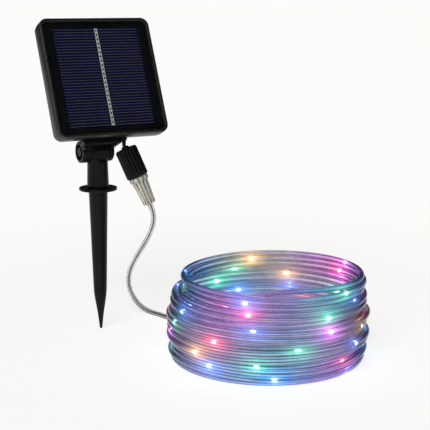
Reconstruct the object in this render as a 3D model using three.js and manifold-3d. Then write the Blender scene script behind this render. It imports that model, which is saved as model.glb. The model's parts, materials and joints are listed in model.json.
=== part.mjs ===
// Solar string lights: a square solar panel on a tilting, swivelling ground stake, and a clear light
// tube that leaves the panel through a screwed connector and lies wound in a tall round coil.
//
// Millimetres, +Z up. The origin is the tip of the stake. The panel faces -Y and is tilted back, the
// hinge of the tilt lies along X, and the coil stands at +X, -Y of the stake on the plane z = 0.

import * as THREE from 'three';
import { mergeVertices } from 'three/addons/utils/BufferGeometryUtils.js';
import Module from 'manifold-3d';

const wasm = await Module();
wasm.setup();

// ---------------------------------------------------------------------------------------------
// Driving dimensions
// ---------------------------------------------------------------------------------------------

const GAP = 0.3;                      // clearance between pieces that rest on each other
const DEG = Math.PI / 180;

// Ground stake
const TIP_FLAT_R = 1.2;
const STAKE_TOP_R = 8.8;
const STAKE_SHOULDER = { r: 6.0, z: 36 };
const FLANGE = { r: 17.6, bottom: 133.2, top: 135.9, edge: 0.8 };
const SPIGOT = { r: 7.7, top: 154 };

// Neck post, which turns on the spigot and carries the knuckle of the tilt hinge
const NECK = { bottomR: 10.1, topR: 9.5, top: 158.8, boreR: SPIGOT.r + GAP };
const HINGE_Z = 169.5;
const KNUCKLE = { r: 10, half: 8.7 };
const BOLT = { r: 2.4, headR: 4.6, headDepth: 3.2, nutR: 4.3, nutH: 2.6, washerR: 4.9, washerH: 0.8 };

// Panel head: everything below is in the head's own frame, whose origin is on the hinge axis, with y
// running from the glass towards the back of the housing and z running up the panel
const TILT = 22.7 * DEG;
const PANEL = { w: 109, h: 112, r: 8, x: 8.5, bottom: 6.5, front: -28 };
const PANEL_Z = PANEL.bottom + PANEL.h / 2;
const PARTING_Y = -17.5;              // back edge of the bezel
const BACK_Y = -10.5;                 // back face of the rear shell
const WALL = 2;
const LIP = { width: 3, depth: 1.2 };
const GLASS = { t: 2, inset: 2.3 };
const CELL = { w: 84.5, h: 94, t: 0.4, right: 1, rise: 0.5 };
const BUSBAR = { w: 3, h: 93, t: 0.3 };
const BACKSHEET = { w: 104.2, h: 107.2, t: 1.2 };
const CORNER_BLOCK = 9;
const SCREW_INSET = { x: 48, z: 49.5 };
const SCREW = { r: 1.1, pilotR: 1.4, headR: 2.4, headH: 1.8 };
const BATTERY = { r: 7.25, l: 50.5, y: -14.05, z: 96 };
const BUTTON = { r: 4.5, flangeR: 5.5, pitch: 24, z: 44, proud: 1.2 };
const BOARD = { w: 50, z0: 26, z1: 64, t: 1.6, y: -21.2 };
const GROMMET = { x: 22, y: -13.3, boreR: 2.1, neckR: 2.45, flangeR: 3.2 };
const LEAD_R = 1.8;

// Tilt bracket
const BRACKET = { x0: -20, x1: 17.5, y0: -20, y1: -8.6, z0: 1.2, top: PANEL.bottom - GAP };
const LEFT_EAR = { x0: -18, x1: -9 };
const RECESS = { r: 7.2, depth: 4.6 };   // round recess for the bolt's head in the left ear
const RIGHT_EAR = { x0: 9, x1: 13 };
const NUT_POCKET = 2.4;               // depth of the hexagonal pocket in the right ear
const EAR_FOOT = -1;                  // how low the ears' webs reach in front of the hinge
const PAD = { x1: 26, top: 12 };      // pad in the rear shell that takes the bracket screws and the grommet
const BRACKET_SCREW = { x: 14.2, y: -15.0 };

// Connector between the panel's lead and the light tube
const CONNECTOR = { bearing: -30 * DEG, lean: 23 * DEG, reach: 31.4, z: 158.6 };
const NUT = { r: 10.3, rootR: 9.5, l: 28, ribs: 18, boreR: 8.4, mouthR: 4.6, roof: 4 };
const PLUG_TOP = NUT.l / 2 + 2;         // upper end of the lead's plug
const SOCKET = { collarR: 9.0, collarL: 4, topR: 7.8, endR: 6.0, l: 27.4, threadR: 8.0 };

// Light tube: one length of clear round tube, its far end plugged by a cap
const TUBE_R = 2.5;
const COIL_CENTRE = new THREE.Vector2(94.2, -143.5);
const COIL_BANDS = [87.7, 89.6, 90.1, 88.2, 82.0];   // outer radius of each band of turns, from below
const COIL_BAND_H = 15.3;
const COIL_SLIP = { x: 4.1, y: -2.4, from: 50, to: 66 };   // how far the top band sits off centre
const COIL_NOTCH = 1.5;               // depth of the waist between two bands
const COIL_WALL = 9.2;
const TAIL = { r: 65, start: -110, end: -270, top: 69 };
const CAP = { r: 3.4, l: 12 };

// Centre line of the light tube from the connector to the outside of the coil
const LEAD_ROUTE = [
  [41.3, -23.9, 120.1], [43, -24.8, 115.6], [44.3, -25.1, 110.5], [44.9, -24.4, 104.5],
  [44.6, -21.9, 97.5], [43.5, -18.2, 90], [41.4, -13.3, 81.6], [38.8, -7.2, 72.3], [37.2, -0.4, 63.5],
  [36.5, 6.7, 54.9], [36.8, 13.4, 46], [38.5, 19.2, 37], [41.4, 23.4, 28.5],
  [45.3, 25.5, 20.5], [49.8, 25.6, 13], [54.6, 23.2, 7], [58.9, 18.6, 3.6],
  [62.4, 12.4, 2.6], [64.6, 4.6, 2.5], [66.5, -4.3, 2.5], [68.3, -14.7, 2.5],
  [70.9, -25.8, 2.5], [74.7, -37, 2.5], [80, -45.6, 2.5], [86.1, -51.2, 2.5],
];

// ---------------------------------------------------------------------------------------------
// Materials
// ---------------------------------------------------------------------------------------------

function material(color, roughness, metalness, opacity = 1) {
  return new THREE.MeshStandardMaterial({ color, roughness, metalness, opacity, transparent: opacity < 1 });
}

const black = () => material(0x17191a, 0.55, 0);
const rubber = () => material(0x101010, 0.8, 0);
const steel = () => material(0xb8bcc0, 0.35, 1);
const brass = () => material(0xc9a24a, 0.3, 1);
const clear = () => material(0xe9ecdf, 0.15, 0, 0.5);

// ---------------------------------------------------------------------------------------------
// Solids
// ---------------------------------------------------------------------------------------------

function toSolid(geometry) {
  const bare = geometry.clone();
  bare.deleteAttribute('normal');
  bare.deleteAttribute('uv');
  const merged = mergeVertices(bare);
  const index = merged.index.array;
  const kept = [];
  for (let i = 0; i < index.length; i += 3) {
    const [a, b, c] = [index[i], index[i + 1], index[i + 2]];
    if (a !== b && b !== c && c !== a) kept.push(a, b, c);
  }
  return new wasm.Manifold(new wasm.Mesh({
    numProp: 3,
    vertProperties: merged.attributes.position.array,
    triVerts: new Uint32Array(kept),
  }));
}

function toGeometry(solid) {
  const mesh = solid.getMesh();
  const geometry = new THREE.BufferGeometry();
  geometry.setAttribute('position', new THREE.BufferAttribute(new Float32Array(mesh.vertProperties), 3));
  geometry.setIndex(new THREE.BufferAttribute(new Uint32Array(mesh.triVerts), 1));
  geometry.computeVertexNormals();
  return geometry;
}

function join(first, ...others) {
  return others.reduce((whole, solid) => whole.add(solid), first);
}

function cut(first, ...tools) {
  return tools.reduce((whole, tool) => whole.subtract(tool), first);
}

function box(x0, x1, y0, y1, z0, z1) {
  const geometry = new THREE.BoxGeometry(x1 - x0, y1 - y0, z1 - z0);
  geometry.translate((x0 + x1) / 2, (y0 + y1) / 2, (z0 + z1) / 2);
  return toSolid(geometry);
}

// A body turned about Z from a profile of [radius, z] points that runs up the outside
function turned(profile, sides = 24) {
  const points = profile.map(([r, z]) => new THREE.Vector2(r, z));
  const geometry = new THREE.LatheGeometry(points, sides);
  geometry.rotateX(Math.PI / 2);
  return toSolid(geometry);
}

function rod(r, z0, z1, sides = 20) {
  return turned([[0, z0], [r, z0], [r, z1], [0, z1]], sides);
}

function rodX(r, x0, x1, sides = 20, y = 0, z = 0) {
  const geometry = new THREE.CylinderGeometry(r, r, x1 - x0, sides);
  geometry.rotateZ(Math.PI / 2);
  geometry.translate((x0 + x1) / 2, y, z);
  return toSolid(geometry);
}

function rodY(r, y0, y1, sides, x, z) {
  const geometry = new THREE.CylinderGeometry(r, r, y1 - y0, sides);
  geometry.translate(x, (y0 + y1) / 2, z);
  return toSolid(geometry);
}

function rodZ(r, z0, z1, sides, x, y) {
  const geometry = new THREE.CylinderGeometry(r, r, z1 - z0, sides);
  geometry.rotateX(Math.PI / 2);
  geometry.translate(x, y, (z0 + z1) / 2);
  return toSolid(geometry);
}

// Outline in X and Z, pushed from y0 to y1
function slab(shape, y0, y1, curveSegments = 4) {
  const geometry = new THREE.ExtrudeGeometry(shape, { depth: y1 - y0, bevelEnabled: false, curveSegments });
  geometry.rotateX(Math.PI / 2);
  geometry.translate(0, y1, 0);
  return toSolid(geometry);
}

function roundedRect(w, h, r, x = PANEL.x, z = PANEL_Z) {
  const shape = new THREE.Shape();
  shape.absarc(x + w / 2 - r, z - h / 2 + r, r, -Math.PI / 2, 0);
  shape.absarc(x + w / 2 - r, z + h / 2 - r, r, 0, Math.PI / 2);
  shape.absarc(x - w / 2 + r, z + h / 2 - r, r, Math.PI / 2, Math.PI);
  shape.absarc(x - w / 2 + r, z - h / 2 + r, r, Math.PI, Math.PI * 1.5);
  shape.closePath();
  return shape;
}

// A rounded-rectangle body whose outline changes from level to level; levels are [y, w, h, r]
function lofted(levels, cornerSteps = 4) {
  const rings = levels.map(([y, w, h, r]) => {
    const ring = [];
    const corners = [[1, -1, -90], [1, 1, 0], [-1, 1, 90], [-1, -1, 180]];
    for (const [sx, sz, from] of corners) {
      for (let step = 0; step <= cornerSteps; step += 1) {
        const angle = (from + (90 * step) / cornerSteps) * DEG;
        ring.push([
          PANEL.x + sx * (w / 2 - r) + r * Math.cos(angle),
          y,
          PANEL_Z + sz * (h / 2 - r) + r * Math.sin(angle),
        ]);
      }
    }
    return ring;
  });
  const count = rings[0].length;
  const positions = rings.flat(2);
  const centreFront = positions.length / 3;
  positions.push(PANEL.x, levels[0][0], PANEL_Z);
  positions.push(PANEL.x, levels[levels.length - 1][0], PANEL_Z);
  const index = [];
  for (let side = 0; side < count; side += 1) {
    const next = (side + 1) % count;
    for (let level = 0; level < rings.length - 1; level += 1) {
      const a = level * count + side;
      const b = level * count + next;
      index.push(a, a + count, b, b, a + count, b + count);
    }
    const last = (rings.length - 1) * count;
    index.push(centreFront, side, next);
    index.push(centreFront + 1, last + next, last + side);
  }
  const geometry = new THREE.BufferGeometry();
  geometry.setAttribute('position', new THREE.Float32BufferAttribute(positions, 3));
  geometry.setIndex(index);
  return toSolid(geometry);
}

// Round tube along a curve
function tube(curve, r, steps, sides) {
  const section = new THREE.Shape();
  for (let side = 0; side < sides; side += 1) {
    const angle = (2 * Math.PI * side) / sides;
    const corner = [r * Math.cos(angle), r * Math.sin(angle)];
    if (side === 0) section.moveTo(...corner);
    else section.lineTo(...corner);
  }
  section.closePath();
  return toSolid(new THREE.ExtrudeGeometry(section, { steps, bevelEnabled: false, extrudePath: curve }));
}

function curveThrough(points) {
  return new THREE.CatmullRomCurve3(points.map((point) => new THREE.Vector3(...point)), false, 'centripetal');
}

// ---------------------------------------------------------------------------------------------
// Assembly groups
// ---------------------------------------------------------------------------------------------

const assembly = new THREE.Group();

const head = new THREE.Group();
head.position.z = HINGE_Z;
head.rotation.x = -TILT;
assembly.add(head);

// The connector's own frame: its axis is z, pointing up into the nut, with the nut's centre as origin
const connectorTurn = new THREE.Group();
connectorTurn.position.set(
  CONNECTOR.reach * Math.cos(CONNECTOR.bearing),
  CONNECTOR.reach * Math.sin(CONNECTOR.bearing),
  CONNECTOR.z,
);
connectorTurn.rotation.z = CONNECTOR.bearing;
assembly.add(connectorTurn);
const connector = new THREE.Group();
connector.rotation.y = -CONNECTOR.lean;
connectorTurn.add(connector);

function add(name, solid, surface, group = assembly) {
  const mesh = new THREE.Mesh(toGeometry(solid), surface);
  mesh.name = name;
  group.add(mesh);
  return mesh;
}

// ---------------------------------------------------------------------------------------------
// Stake and neck
// ---------------------------------------------------------------------------------------------

function groundStake() {
  return turned([
    [0, 0], [TIP_FLAT_R, 0], [1.7, 5], [3.0, 16], [4.6, 26], [STAKE_SHOULDER.r, STAKE_SHOULDER.z],
    [STAKE_TOP_R, FLANGE.bottom], [FLANGE.r - FLANGE.edge, FLANGE.bottom],
    [FLANGE.r, FLANGE.bottom + FLANGE.edge], [FLANGE.r, FLANGE.top - FLANGE.edge],
    [FLANGE.r - FLANGE.edge, FLANGE.top], [SPIGOT.r, FLANGE.top], [SPIGOT.r, SPIGOT.top - 1],
    [SPIGOT.r - 1, SPIGOT.top], [0, SPIGOT.top],
  ], 28);
}

function neckPost() {
  const bottom = FLANGE.top + GAP;
  const sleeve = turned([[0, bottom], [NECK.bottomR, bottom], [NECK.topR, NECK.top], [0, NECK.top]], 28);
  const web = box(-KNUCKLE.half, KNUCKLE.half, -7.5, 7.5, NECK.top - 4, HINGE_Z);
  const knuckle = rodX(KNUCKLE.r, -KNUCKLE.half, KNUCKLE.half, 28, 0, HINGE_Z);
  const socket = rod(NECK.boreR, bottom - 1, SPIGOT.top + 1, 28);
  const boltHole = rodX(BOLT.r + GAP, -12, 12, 16, 0, HINGE_Z);
  return cut(join(sleeve, web, knuckle), socket, boltHole);
}

add('ground_stake', groundStake(), black());
add('neck_post', neckPost(), black());

// ---------------------------------------------------------------------------------------------
// Tilt bracket and its bolt, in the head's frame
// ---------------------------------------------------------------------------------------------

function bracketArch() {
  const arch = new THREE.Shape();
  arch.moveTo(RIGHT_EAR.x0, BRACKET.top);
  arch.lineTo(RIGHT_EAR.x0, EAR_FOOT);
  arch.lineTo(RIGHT_EAR.x1 - 1, EAR_FOOT);
  arch.quadraticCurveTo(RIGHT_EAR.x1, BRACKET.z0 + 0.8, BRACKET.x1, BRACKET.z0 + 1.4);
  arch.lineTo(BRACKET.x1, BRACKET.top);
  arch.closePath();
  return slab(arch, BRACKET.y0 + 2, BRACKET.y1 - 1, 6);
}

function tiltBracket() {
  const crossbar = box(BRACKET.x0, BRACKET.x1, BRACKET.y0, BRACKET.y1, BRACKET.z0, BRACKET.top);
  const saddle = rodX(KNUCKLE.r + 0.5, LEFT_EAR.x1, RIGHT_EAR.x0, 28);
  const ears = [LEFT_EAR, RIGHT_EAR].map(({ x0, x1 }) => join(
    rodX(KNUCKLE.r, x0, x1, 28),
    box(x0, x1, BRACKET.y0 + 4, -2, EAR_FOOT, BRACKET.top),
  ));
  const headRecess = rodX(RECESS.r, LEFT_EAR.x0 - 1, LEFT_EAR.x0 + RECESS.depth, 24);
  const boltHole = rodX(BOLT.r + GAP, -20, 20, 16);
  const pilots = [-1, 1].map((side) => (
    rodZ(SCREW.pilotR, 2.6, BRACKET.top + 1, 12, side * BRACKET_SCREW.x, BRACKET_SCREW.y)
  ));
  const nutPocket = hexagon(BOLT.nutR + GAP + 0.1, RIGHT_EAR.x1 - NUT_POCKET, RIGHT_EAR.x1 + 1);
  return cut(join(crossbar, bracketArch(), ...ears), saddle, headRecess, nutPocket, boltHole, ...pilots);
}

function hexagon(cornerR, x0, x1) {
  return rodX(cornerR, x0, x1, 6);
}

// From left to right: the bolt's head, the washer, the recess's floor, and at the other end the nut
const WASHER_X = LEFT_EAR.x0 + RECESS.depth - GAP - BOLT.washerH;
const HEAD_SEAT_X = WASHER_X - GAP;
const NUT_X = RIGHT_EAR.x1 - NUT_POCKET + GAP;

function hingeBolt() {
  const shank = rodX(BOLT.r, HEAD_SEAT_X - 0.5, NUT_X + BOLT.nutH + 0.4, 16);
  return join(hexagon(BOLT.headR, HEAD_SEAT_X - BOLT.headDepth, HEAD_SEAT_X), shank);
}

function washer() {
  return cut(
    rodX(BOLT.washerR, WASHER_X, WASHER_X + BOLT.washerH, 20),
    rodX(BOLT.r + GAP, WASHER_X - 1, WASHER_X + BOLT.washerH + 1, 16),
  );
}

function hingeNut() {
  return cut(hexagon(BOLT.nutR, NUT_X, NUT_X + BOLT.nutH), rodX(BOLT.r + GAP, NUT_X - 1, NUT_X + 5, 16));
}

function bracketScrew(side) {
  const x = side * BRACKET_SCREW.x;
  const seat = PAD.top + GAP;
  return join(
    rodZ(SCREW.r, 3, seat + 0.5, 12, x, BRACKET_SCREW.y),
    rodZ(SCREW.headR, seat, seat + SCREW.headH, 12, x, BRACKET_SCREW.y),
  );
}

add('tilt_bracket', tiltBracket(), black(), head);
add('hinge_bolt', hingeBolt(), steel(), head);
add('hinge_washer', washer(), steel(), head);
add('hinge_nut', hingeNut(), steel(), head);
add('bracket_screw_1', bracketScrew(-1), steel(), head);
add('bracket_screw_2', bracketScrew(1), steel(), head);

// ---------------------------------------------------------------------------------------------
// Panel housing, in the head's frame
// ---------------------------------------------------------------------------------------------

const CORNERS = [[-1, -1], [1, -1], [1, 1], [-1, 1]];
const GLASS_BACK = PANEL.front + LIP.depth + GAP + GLASS.t;
const BUSBAR_FRONT = GLASS_BACK + GAP;
const CELL_FRONT = BUSBAR_FRONT + BUSBAR.t + GAP;
const CELL_X = PANEL.x + CELL.right;
const SHEET_FRONT = CELL_FRONT + CELL.t + GAP;
const SHEET_BACK = SHEET_FRONT + BACKSHEET.t;
const SEAL_BACK = PARTING_Y + GAP + 0.8;
const SEAT_Y = -13.2;                 // where the housing screws' heads bear in the rear shell

function frontBezel() {
  const body = lofted([
    [PANEL.front, PANEL.w - 1.6, PANEL.h - 1.6, PANEL.r - 0.8],
    [PANEL.front + 0.9, PANEL.w, PANEL.h, PANEL.r],
    [PARTING_Y, PANEL.w, PANEL.h, PANEL.r],
  ]);
  const cavity = slab(
    roundedRect(PANEL.w - 2 * WALL, PANEL.h - 2 * WALL, PANEL.r - WALL),
    PANEL.front + LIP.depth,
    PARTING_Y + 1,
  );
  const opening = slab(
    roundedRect(PANEL.w - 2 * LIP.width, PANEL.h - 2 * LIP.width, PANEL.r - LIP.width),
    PANEL.front - 1,
    PANEL.front + LIP.depth + 1,
  );
  const blocks = CORNERS.map(([sx, sz]) => {
    const outerX = PANEL.x + sx * (PANEL.w / 2 - WALL / 2);
    const outerZ = PANEL_Z + sz * (PANEL.h / 2 - WALL / 2);
    const innerX = outerX - sx * CORNER_BLOCK;
    const innerZ = outerZ - sz * CORNER_BLOCK;
    return box(
      Math.min(outerX, innerX), Math.max(outerX, innerX),
      SHEET_BACK + GAP, PARTING_Y,
      Math.min(outerZ, innerZ), Math.max(outerZ, innerZ),
    );
  });
  const pilots = CORNERS.map(([sx, sz]) => (
    rodY(SCREW.pilotR, SHEET_BACK + 0.8, 0, 12, PANEL.x + sx * SCREW_INSET.x, PANEL_Z + sz * SCREW_INSET.z)
  ));
  const insideWalls = slab(roundedRect(PANEL.w - 1, PANEL.h - 1, PANEL.r - 0.5), -30, 0);
  const trimmed = join(...blocks).intersect(insideWalls);
  return cut(join(cut(body, cavity, opening), trimmed), ...pilots);
}

function housingSeal() {
  const outer = roundedRect(PANEL.w - 6, PANEL.h - 6, 5.2);
  const inner = roundedRect(PANEL.w - 8.4, PANEL.h - 8.4, 4.0);
  return cut(slab(outer, PARTING_Y + GAP, SEAL_BACK), slab(inner, PARTING_Y - 1, SEAL_BACK + 1));
}

function rearShell() {
  const front = PARTING_Y + GAP;
  const inner = BACK_Y - WALL;
  const outside = lofted([
    [front, PANEL.w - 0.6, PANEL.h - 0.6, 7.7],
    [-13.6, PANEL.w - 1, PANEL.h - 1, 7.5],
    [-11.5, PANEL.w - 2.6, PANEL.h - 2.6, 7.5],
    [BACK_Y, PANEL.w - 6, PANEL.h - 6, 7.2],
  ]);
  const inside = lofted([
    [front - 1, PANEL.w - 4.2, PANEL.h - 4.2, 5.9],
    [-13.8, PANEL.w - 5.2, PANEL.h - 5.2, 5.7],
    [inner, PANEL.w - 6.8, PANEL.h - 6.8, 5.4],
  ]);
  const pad = join(
    box(BRACKET.x0, PAD.x1, front, BACK_Y + 0.6, PANEL.bottom, PANEL.bottom + WALL),
    box(BRACKET.x0, PAD.x1, SEAL_BACK + GAP, BACK_Y + 0.6, PANEL.bottom, PAD.top),
  );
  const batteryHalf = BATTERY.l / 2 + 4.2;
  const behindBack = box(-60, 90, inner, 5, 0, 130);
  const bulgeHalf = batteryHalf + WALL;
  const bulge = rodX(
    BATTERY.r + 0.35 + WALL, PANEL.x - bulgeHalf, PANEL.x + bulgeHalf, 28, BATTERY.y, BATTERY.z,
  ).intersect(behindBack);
  const batteryRoom = rodX(
    BATTERY.r + 0.35, PANEL.x - batteryHalf, PANEL.x + batteryHalf, 24, BATTERY.y, BATTERY.z,
  );
  const posts = CORNERS.map(([sx, sz]) => (
    rodY(3.4, SEAT_Y - 1.9, inner + 0.5, 16, PANEL.x + sx * SCREW_INSET.x, PANEL_Z + sz * SCREW_INSET.z)
  ));
  const holes = CORNERS.flatMap(([sx, sz]) => {
    const x = PANEL.x + sx * SCREW_INSET.x;
    const z = PANEL_Z + sz * SCREW_INSET.z;
    return [rodY(SCREW.pilotR, -20, 0, 12, x, z), rodY(SCREW.headR + GAP, SEAT_Y, 0, 16, x, z)];
  });
  const buttonHoles = [-1, 1].map((side) => (
    rodY(BUTTON.r + GAP, -16, 0, 24, PANEL.x + (side * BUTTON.pitch) / 2, BUTTON.z)
  ));
  const grommetHole = rodZ(GROMMET.neckR + GAP, 5, 13, 20, GROMMET.x, GROMMET.y);
  const bracketHoles = [-1, 1].map((side) => (
    rodZ(SCREW.pilotR, 5, 13, 12, side * BRACKET_SCREW.x, BRACKET_SCREW.y)
  ));
  const shell = join(cut(join(outside, bulge), inside, batteryRoom), pad, ...posts);
  return cut(shell, ...holes, ...buttonHoles, grommetHole, ...bracketHoles);
}

function housingScrew([sx, sz]) {
  const x = PANEL.x + sx * SCREW_INSET.x;
  const z = PANEL_Z + sz * SCREW_INSET.z;
  const seat = SEAT_Y + GAP;
  return join(
    rodY(SCREW.r, SHEET_BACK + 1.2, seat + 0.4, 12, x, z),
    rodY(SCREW.headR, seat, seat + SCREW.headH, 12, x, z),
  );
}

add('front_bezel', frontBezel(), black(), head);
add('solar_glass', slab(
  roundedRect(PANEL.w - 2 * GLASS.inset, PANEL.h - 2 * GLASS.inset, 5.4),
  GLASS_BACK - GLASS.t,
  GLASS_BACK,
), material(0x9fb2c8, 0.05, 0, 0.35), head);
add('cell_busbar', box(
  CELL_X - BUSBAR.w / 2, CELL_X + BUSBAR.w / 2,
  BUSBAR_FRONT, BUSBAR_FRONT + BUSBAR.t,
  PANEL_Z + CELL.rise - BUSBAR.h / 2, PANEL_Z + CELL.rise + BUSBAR.h / 2,
), steel(), head);
add('solar_cell', box(
  CELL_X - CELL.w / 2, CELL_X + CELL.w / 2,
  CELL_FRONT, CELL_FRONT + CELL.t,
  PANEL_Z + CELL.rise - CELL.h / 2, PANEL_Z + CELL.rise + CELL.h / 2,
), material(0x141a4a, 0.3, 0.2), head);
add('cell_backsheet', slab(
  roundedRect(BACKSHEET.w, BACKSHEET.h, 5.4),
  SHEET_FRONT,
  SHEET_BACK,
), black(), head);
add('housing_seal', housingSeal(), rubber(), head);
add('rear_shell', rearShell(), black(), head);
CORNERS.forEach((corner, i) => add(`housing_screw_${i + 1}`, housingScrew(corner), steel(), head));

// ---------------------------------------------------------------------------------------------
// Circuit board, switches, buttons and battery, in the head's frame
// ---------------------------------------------------------------------------------------------

const BOARD_BACK = BOARD.y + BOARD.t;
const SWITCH_BACK = BOARD_BACK + GAP + 4;

function pushButton(side) {
  const x = PANEL.x + (side * BUTTON.pitch) / 2;
  const flangeBack = BACK_Y - WALL - 0.5;
  return join(
    rodY(BUTTON.r, flangeBack - 0.6, BACK_Y + BUTTON.proud, 24, x, BUTTON.z),
    rodY(BUTTON.flangeR, flangeBack - 1.2, flangeBack, 24, x, BUTTON.z),
  );
}

function switchBody(side) {
  const x = PANEL.x + (side * BUTTON.pitch) / 2;
  return box(x - 3, x + 3, BOARD_BACK + GAP, SWITCH_BACK, BUTTON.z - 3, BUTTON.z + 3);
}

function batteryCell() {
  const end = BATTERY.l / 2;
  const can = rodX(BATTERY.r, PANEL.x - end, PANEL.x + end - 1.2, 24, BATTERY.y, BATTERY.z);
  const button = rodX(2.75, PANEL.x + end - 2, PANEL.x + end, 16, BATTERY.y, BATTERY.z);
  return join(can, button);
}

class ContactSpring extends THREE.Curve {
  getPoint(t, target = new THREE.Vector3()) {
    const angle = 2 * Math.PI * 2.5 * t;
    const r = 2.2 + 2.8 * t;
    const x = PANEL.x - BATTERY.l / 2 - 0.8 - 2.4 * t;
    return target.set(x, BATTERY.y + r * Math.cos(angle), BATTERY.z + r * Math.sin(angle));
  }
}

add('circuit_board', box(
  PANEL.x - BOARD.w / 2, PANEL.x + BOARD.w / 2, BOARD.y, BOARD_BACK, BOARD.z0, BOARD.z1,
), material(0x1d5a33, 0.5, 0), head);
add('controller_chip', box(
  PANEL.x - 5, PANEL.x + 5, BOARD_BACK + GAP, BOARD_BACK + GAP + 1.5, BOARD.z0 + 4, BOARD.z0 + 10,
), material(0x0c0c0c, 0.4, 0), head);
add('power_switch', switchBody(-1), rubber(), head);
add('mode_switch', switchBody(1), rubber(), head);
add('power_button', pushButton(-1), material(0x2c2f31, 0.5, 0), head);
add('mode_button', pushButton(1), material(0x2c2f31, 0.5, 0), head);
add('battery_cell', batteryCell(), material(0x2f7d4f, 0.4, 0), head);
add('battery_contact_plate', box(
  PANEL.x + BATTERY.l / 2 + GAP, PANEL.x + BATTERY.l / 2 + GAP + 0.5,
  BATTERY.y - 4.5, BATTERY.y + 4.5, BATTERY.z - 4.5, BATTERY.z + 4.5,
), steel(), head);
add('battery_contact_spring', tube(new ContactSpring(), 0.45, 30, 6), steel(), head);

// ---------------------------------------------------------------------------------------------
// Panel lead and connector
// ---------------------------------------------------------------------------------------------

function leadGrommet() {
  const { boreR, neckR, flangeR } = GROMMET;
  const profile = [
    [boreR, 4.6], [flangeR, 4.6], [flangeR, 6.2], [neckR, 6.2], [neckR, 11], [boreR, 11], [boreR, 4.6],
  ];
  const solid = turned(profile, 20);
  return solid.translate([GROMMET.x, GROMMET.y, 0]);
}

function couplingNut() {
  const outline = new THREE.Shape();
  const steps = NUT.ribs * 4;
  for (let step = 0; step < steps; step += 1) {
    const angle = (2 * Math.PI * (step + 0.5)) / steps;
    const r = step % 4 < 2 ? NUT.r : NUT.rootR;
    const corner = [r * Math.cos(angle), r * Math.sin(angle)];
    if (step === 0) outline.moveTo(...corner);
    else outline.lineTo(...corner);
  }
  outline.closePath();
  const ribbed = new THREE.ExtrudeGeometry(outline, { depth: NUT.l, bevelEnabled: false });
  ribbed.translate(0, 0, -NUT.l / 2);
  const top = NUT.l / 2;
  return cut(
    toSolid(ribbed),
    rod(NUT.boreR, -top - 1, top - NUT.roof, 28),
    rod(NUT.mouthR, 0, top + 1, 20),
  );
}

function leadPlug() {
  const roof = NUT.l / 2 - NUT.roof;
  return turned([
    [0, 0], [6.2, 0], [6.2, roof - 3.4], [8.0, roof - 3], [8.0, roof - GAP], [4.2, roof - GAP],
    [3.6, PLUG_TOP], [0, PLUG_TOP],
  ]);
}

function contactPin(side) {
  return rodZ(0.9, -7, -GAP, 10, side * 2.2, 0);
}

function connectorSeal() {
  return turned([[5.2, -1.8], [7.2, -1.8], [7.2, -GAP], [5.2, -GAP], [5.2, -1.8]], 24);
}

function tubeSocket() {
  const top = -1.8 - GAP;
  const mouth = -NUT.l / 2;
  const collarTop = mouth - GAP;
  const end = mouth - SOCKET.l;
  const body = turned([
    [0, end], [SOCKET.endR, end], [SOCKET.topR, collarTop - SOCKET.collarL],
    [SOCKET.collarR, collarTop - SOCKET.collarL], [SOCKET.collarR, collarTop],
    [SOCKET.threadR, collarTop], [SOCKET.threadR, top], [0, top],
  ]);
  return cut(body, rod(4.2, -12, 0, 20), rod(TUBE_R + GAP, end - 1, end + 12, 16));
}

add('lead_grommet', leadGrommet(), rubber(), head);
add('coupling_nut', couplingNut(), black(), connector);
add('lead_plug', leadPlug(), black(), connector);
add('contact_pin_1', contactPin(-1), brass(), connector);
add('contact_pin_2', contactPin(1), brass(), connector);
add('connector_seal', connectorSeal(), material(0x8a2f22, 0.7, 0), connector);
add('tube_socket', tubeSocket(), clear(), connector);

// The black lead runs from the back of the circuit board, through the grommet, to the top of the plug
function panelLead() {
  assembly.updateMatrixWorld(true);
  const behindBoard = BOARD_BACK + GAP + LEAD_R;
  const inHead = [
    [behindBoard, 33], [behindBoard, 26], [behindBoard + 1.1, 19], [GROMMET.y - 1.2, 13.5],
    [GROMMET.y - 0.2, 11], [GROMMET.y, 8.5], [GROMMET.y, 3.4],
  ];
  const inConnector = [PLUG_TOP + 1.4, PLUG_TOP + GAP];
  const points = [
    ...inHead.map(([py, pz]) => head.localToWorld(new THREE.Vector3(GROMMET.x, py, pz))),
    ...inConnector.map((pz) => connector.localToWorld(new THREE.Vector3(0, 0, pz))),
  ];
  return tube(new THREE.CatmullRomCurve3(points, false, 'centripetal'), LEAD_R, 18, 8);
}

add('panel_lead', panelLead(), rubber());

// ---------------------------------------------------------------------------------------------
// Light tube
// ---------------------------------------------------------------------------------------------

function coilRing() {
  const outer = [];
  COIL_BANDS.forEach((r, i) => {
    const z = i * COIL_BAND_H;
    const below = i === 0 ? r : Math.min(r, COIL_BANDS[i - 1]);
    outer.push([below - COIL_NOTCH, z], [r, z + COIL_BAND_H * 0.3], [r, z + COIL_BAND_H * 0.7]);
  });
  const last = COIL_BANDS.length - 1;
  outer.push([COIL_BANDS[last] - COIL_NOTCH, COIL_BANDS.length * COIL_BAND_H]);
  const inner = outer.map(([r, z]) => [r - COIL_WALL, z]).reverse();
  return turned([...outer, ...inner, outer[0]], 44).warp((point) => {
    const slip = THREE.MathUtils.smoothstep(point[2], COIL_SLIP.from, COIL_SLIP.to);
    point[0] += COIL_CENTRE.x + COIL_SLIP.x * slip;
    point[1] += COIL_CENTRE.y + COIL_SLIP.y * slip;
  });
}

// The last stretch leaves the top turn inwards and runs down inside the wall to the floor
class TailCurve extends THREE.Curve {
  getPoint(t, target = new THREE.Vector3()) {
    const angle = (TAIL.start + (TAIL.end - TAIL.start) * t) * DEG;
    const drop = t * t * (3 - 2 * t);
    const z = TAIL.top + (CAP.r - TAIL.top) * drop;
    return target.set(
      COIL_CENTRE.x + TAIL.r * Math.cos(angle),
      COIL_CENTRE.y + TAIL.r * Math.sin(angle),
      z,
    );
  }
}

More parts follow.
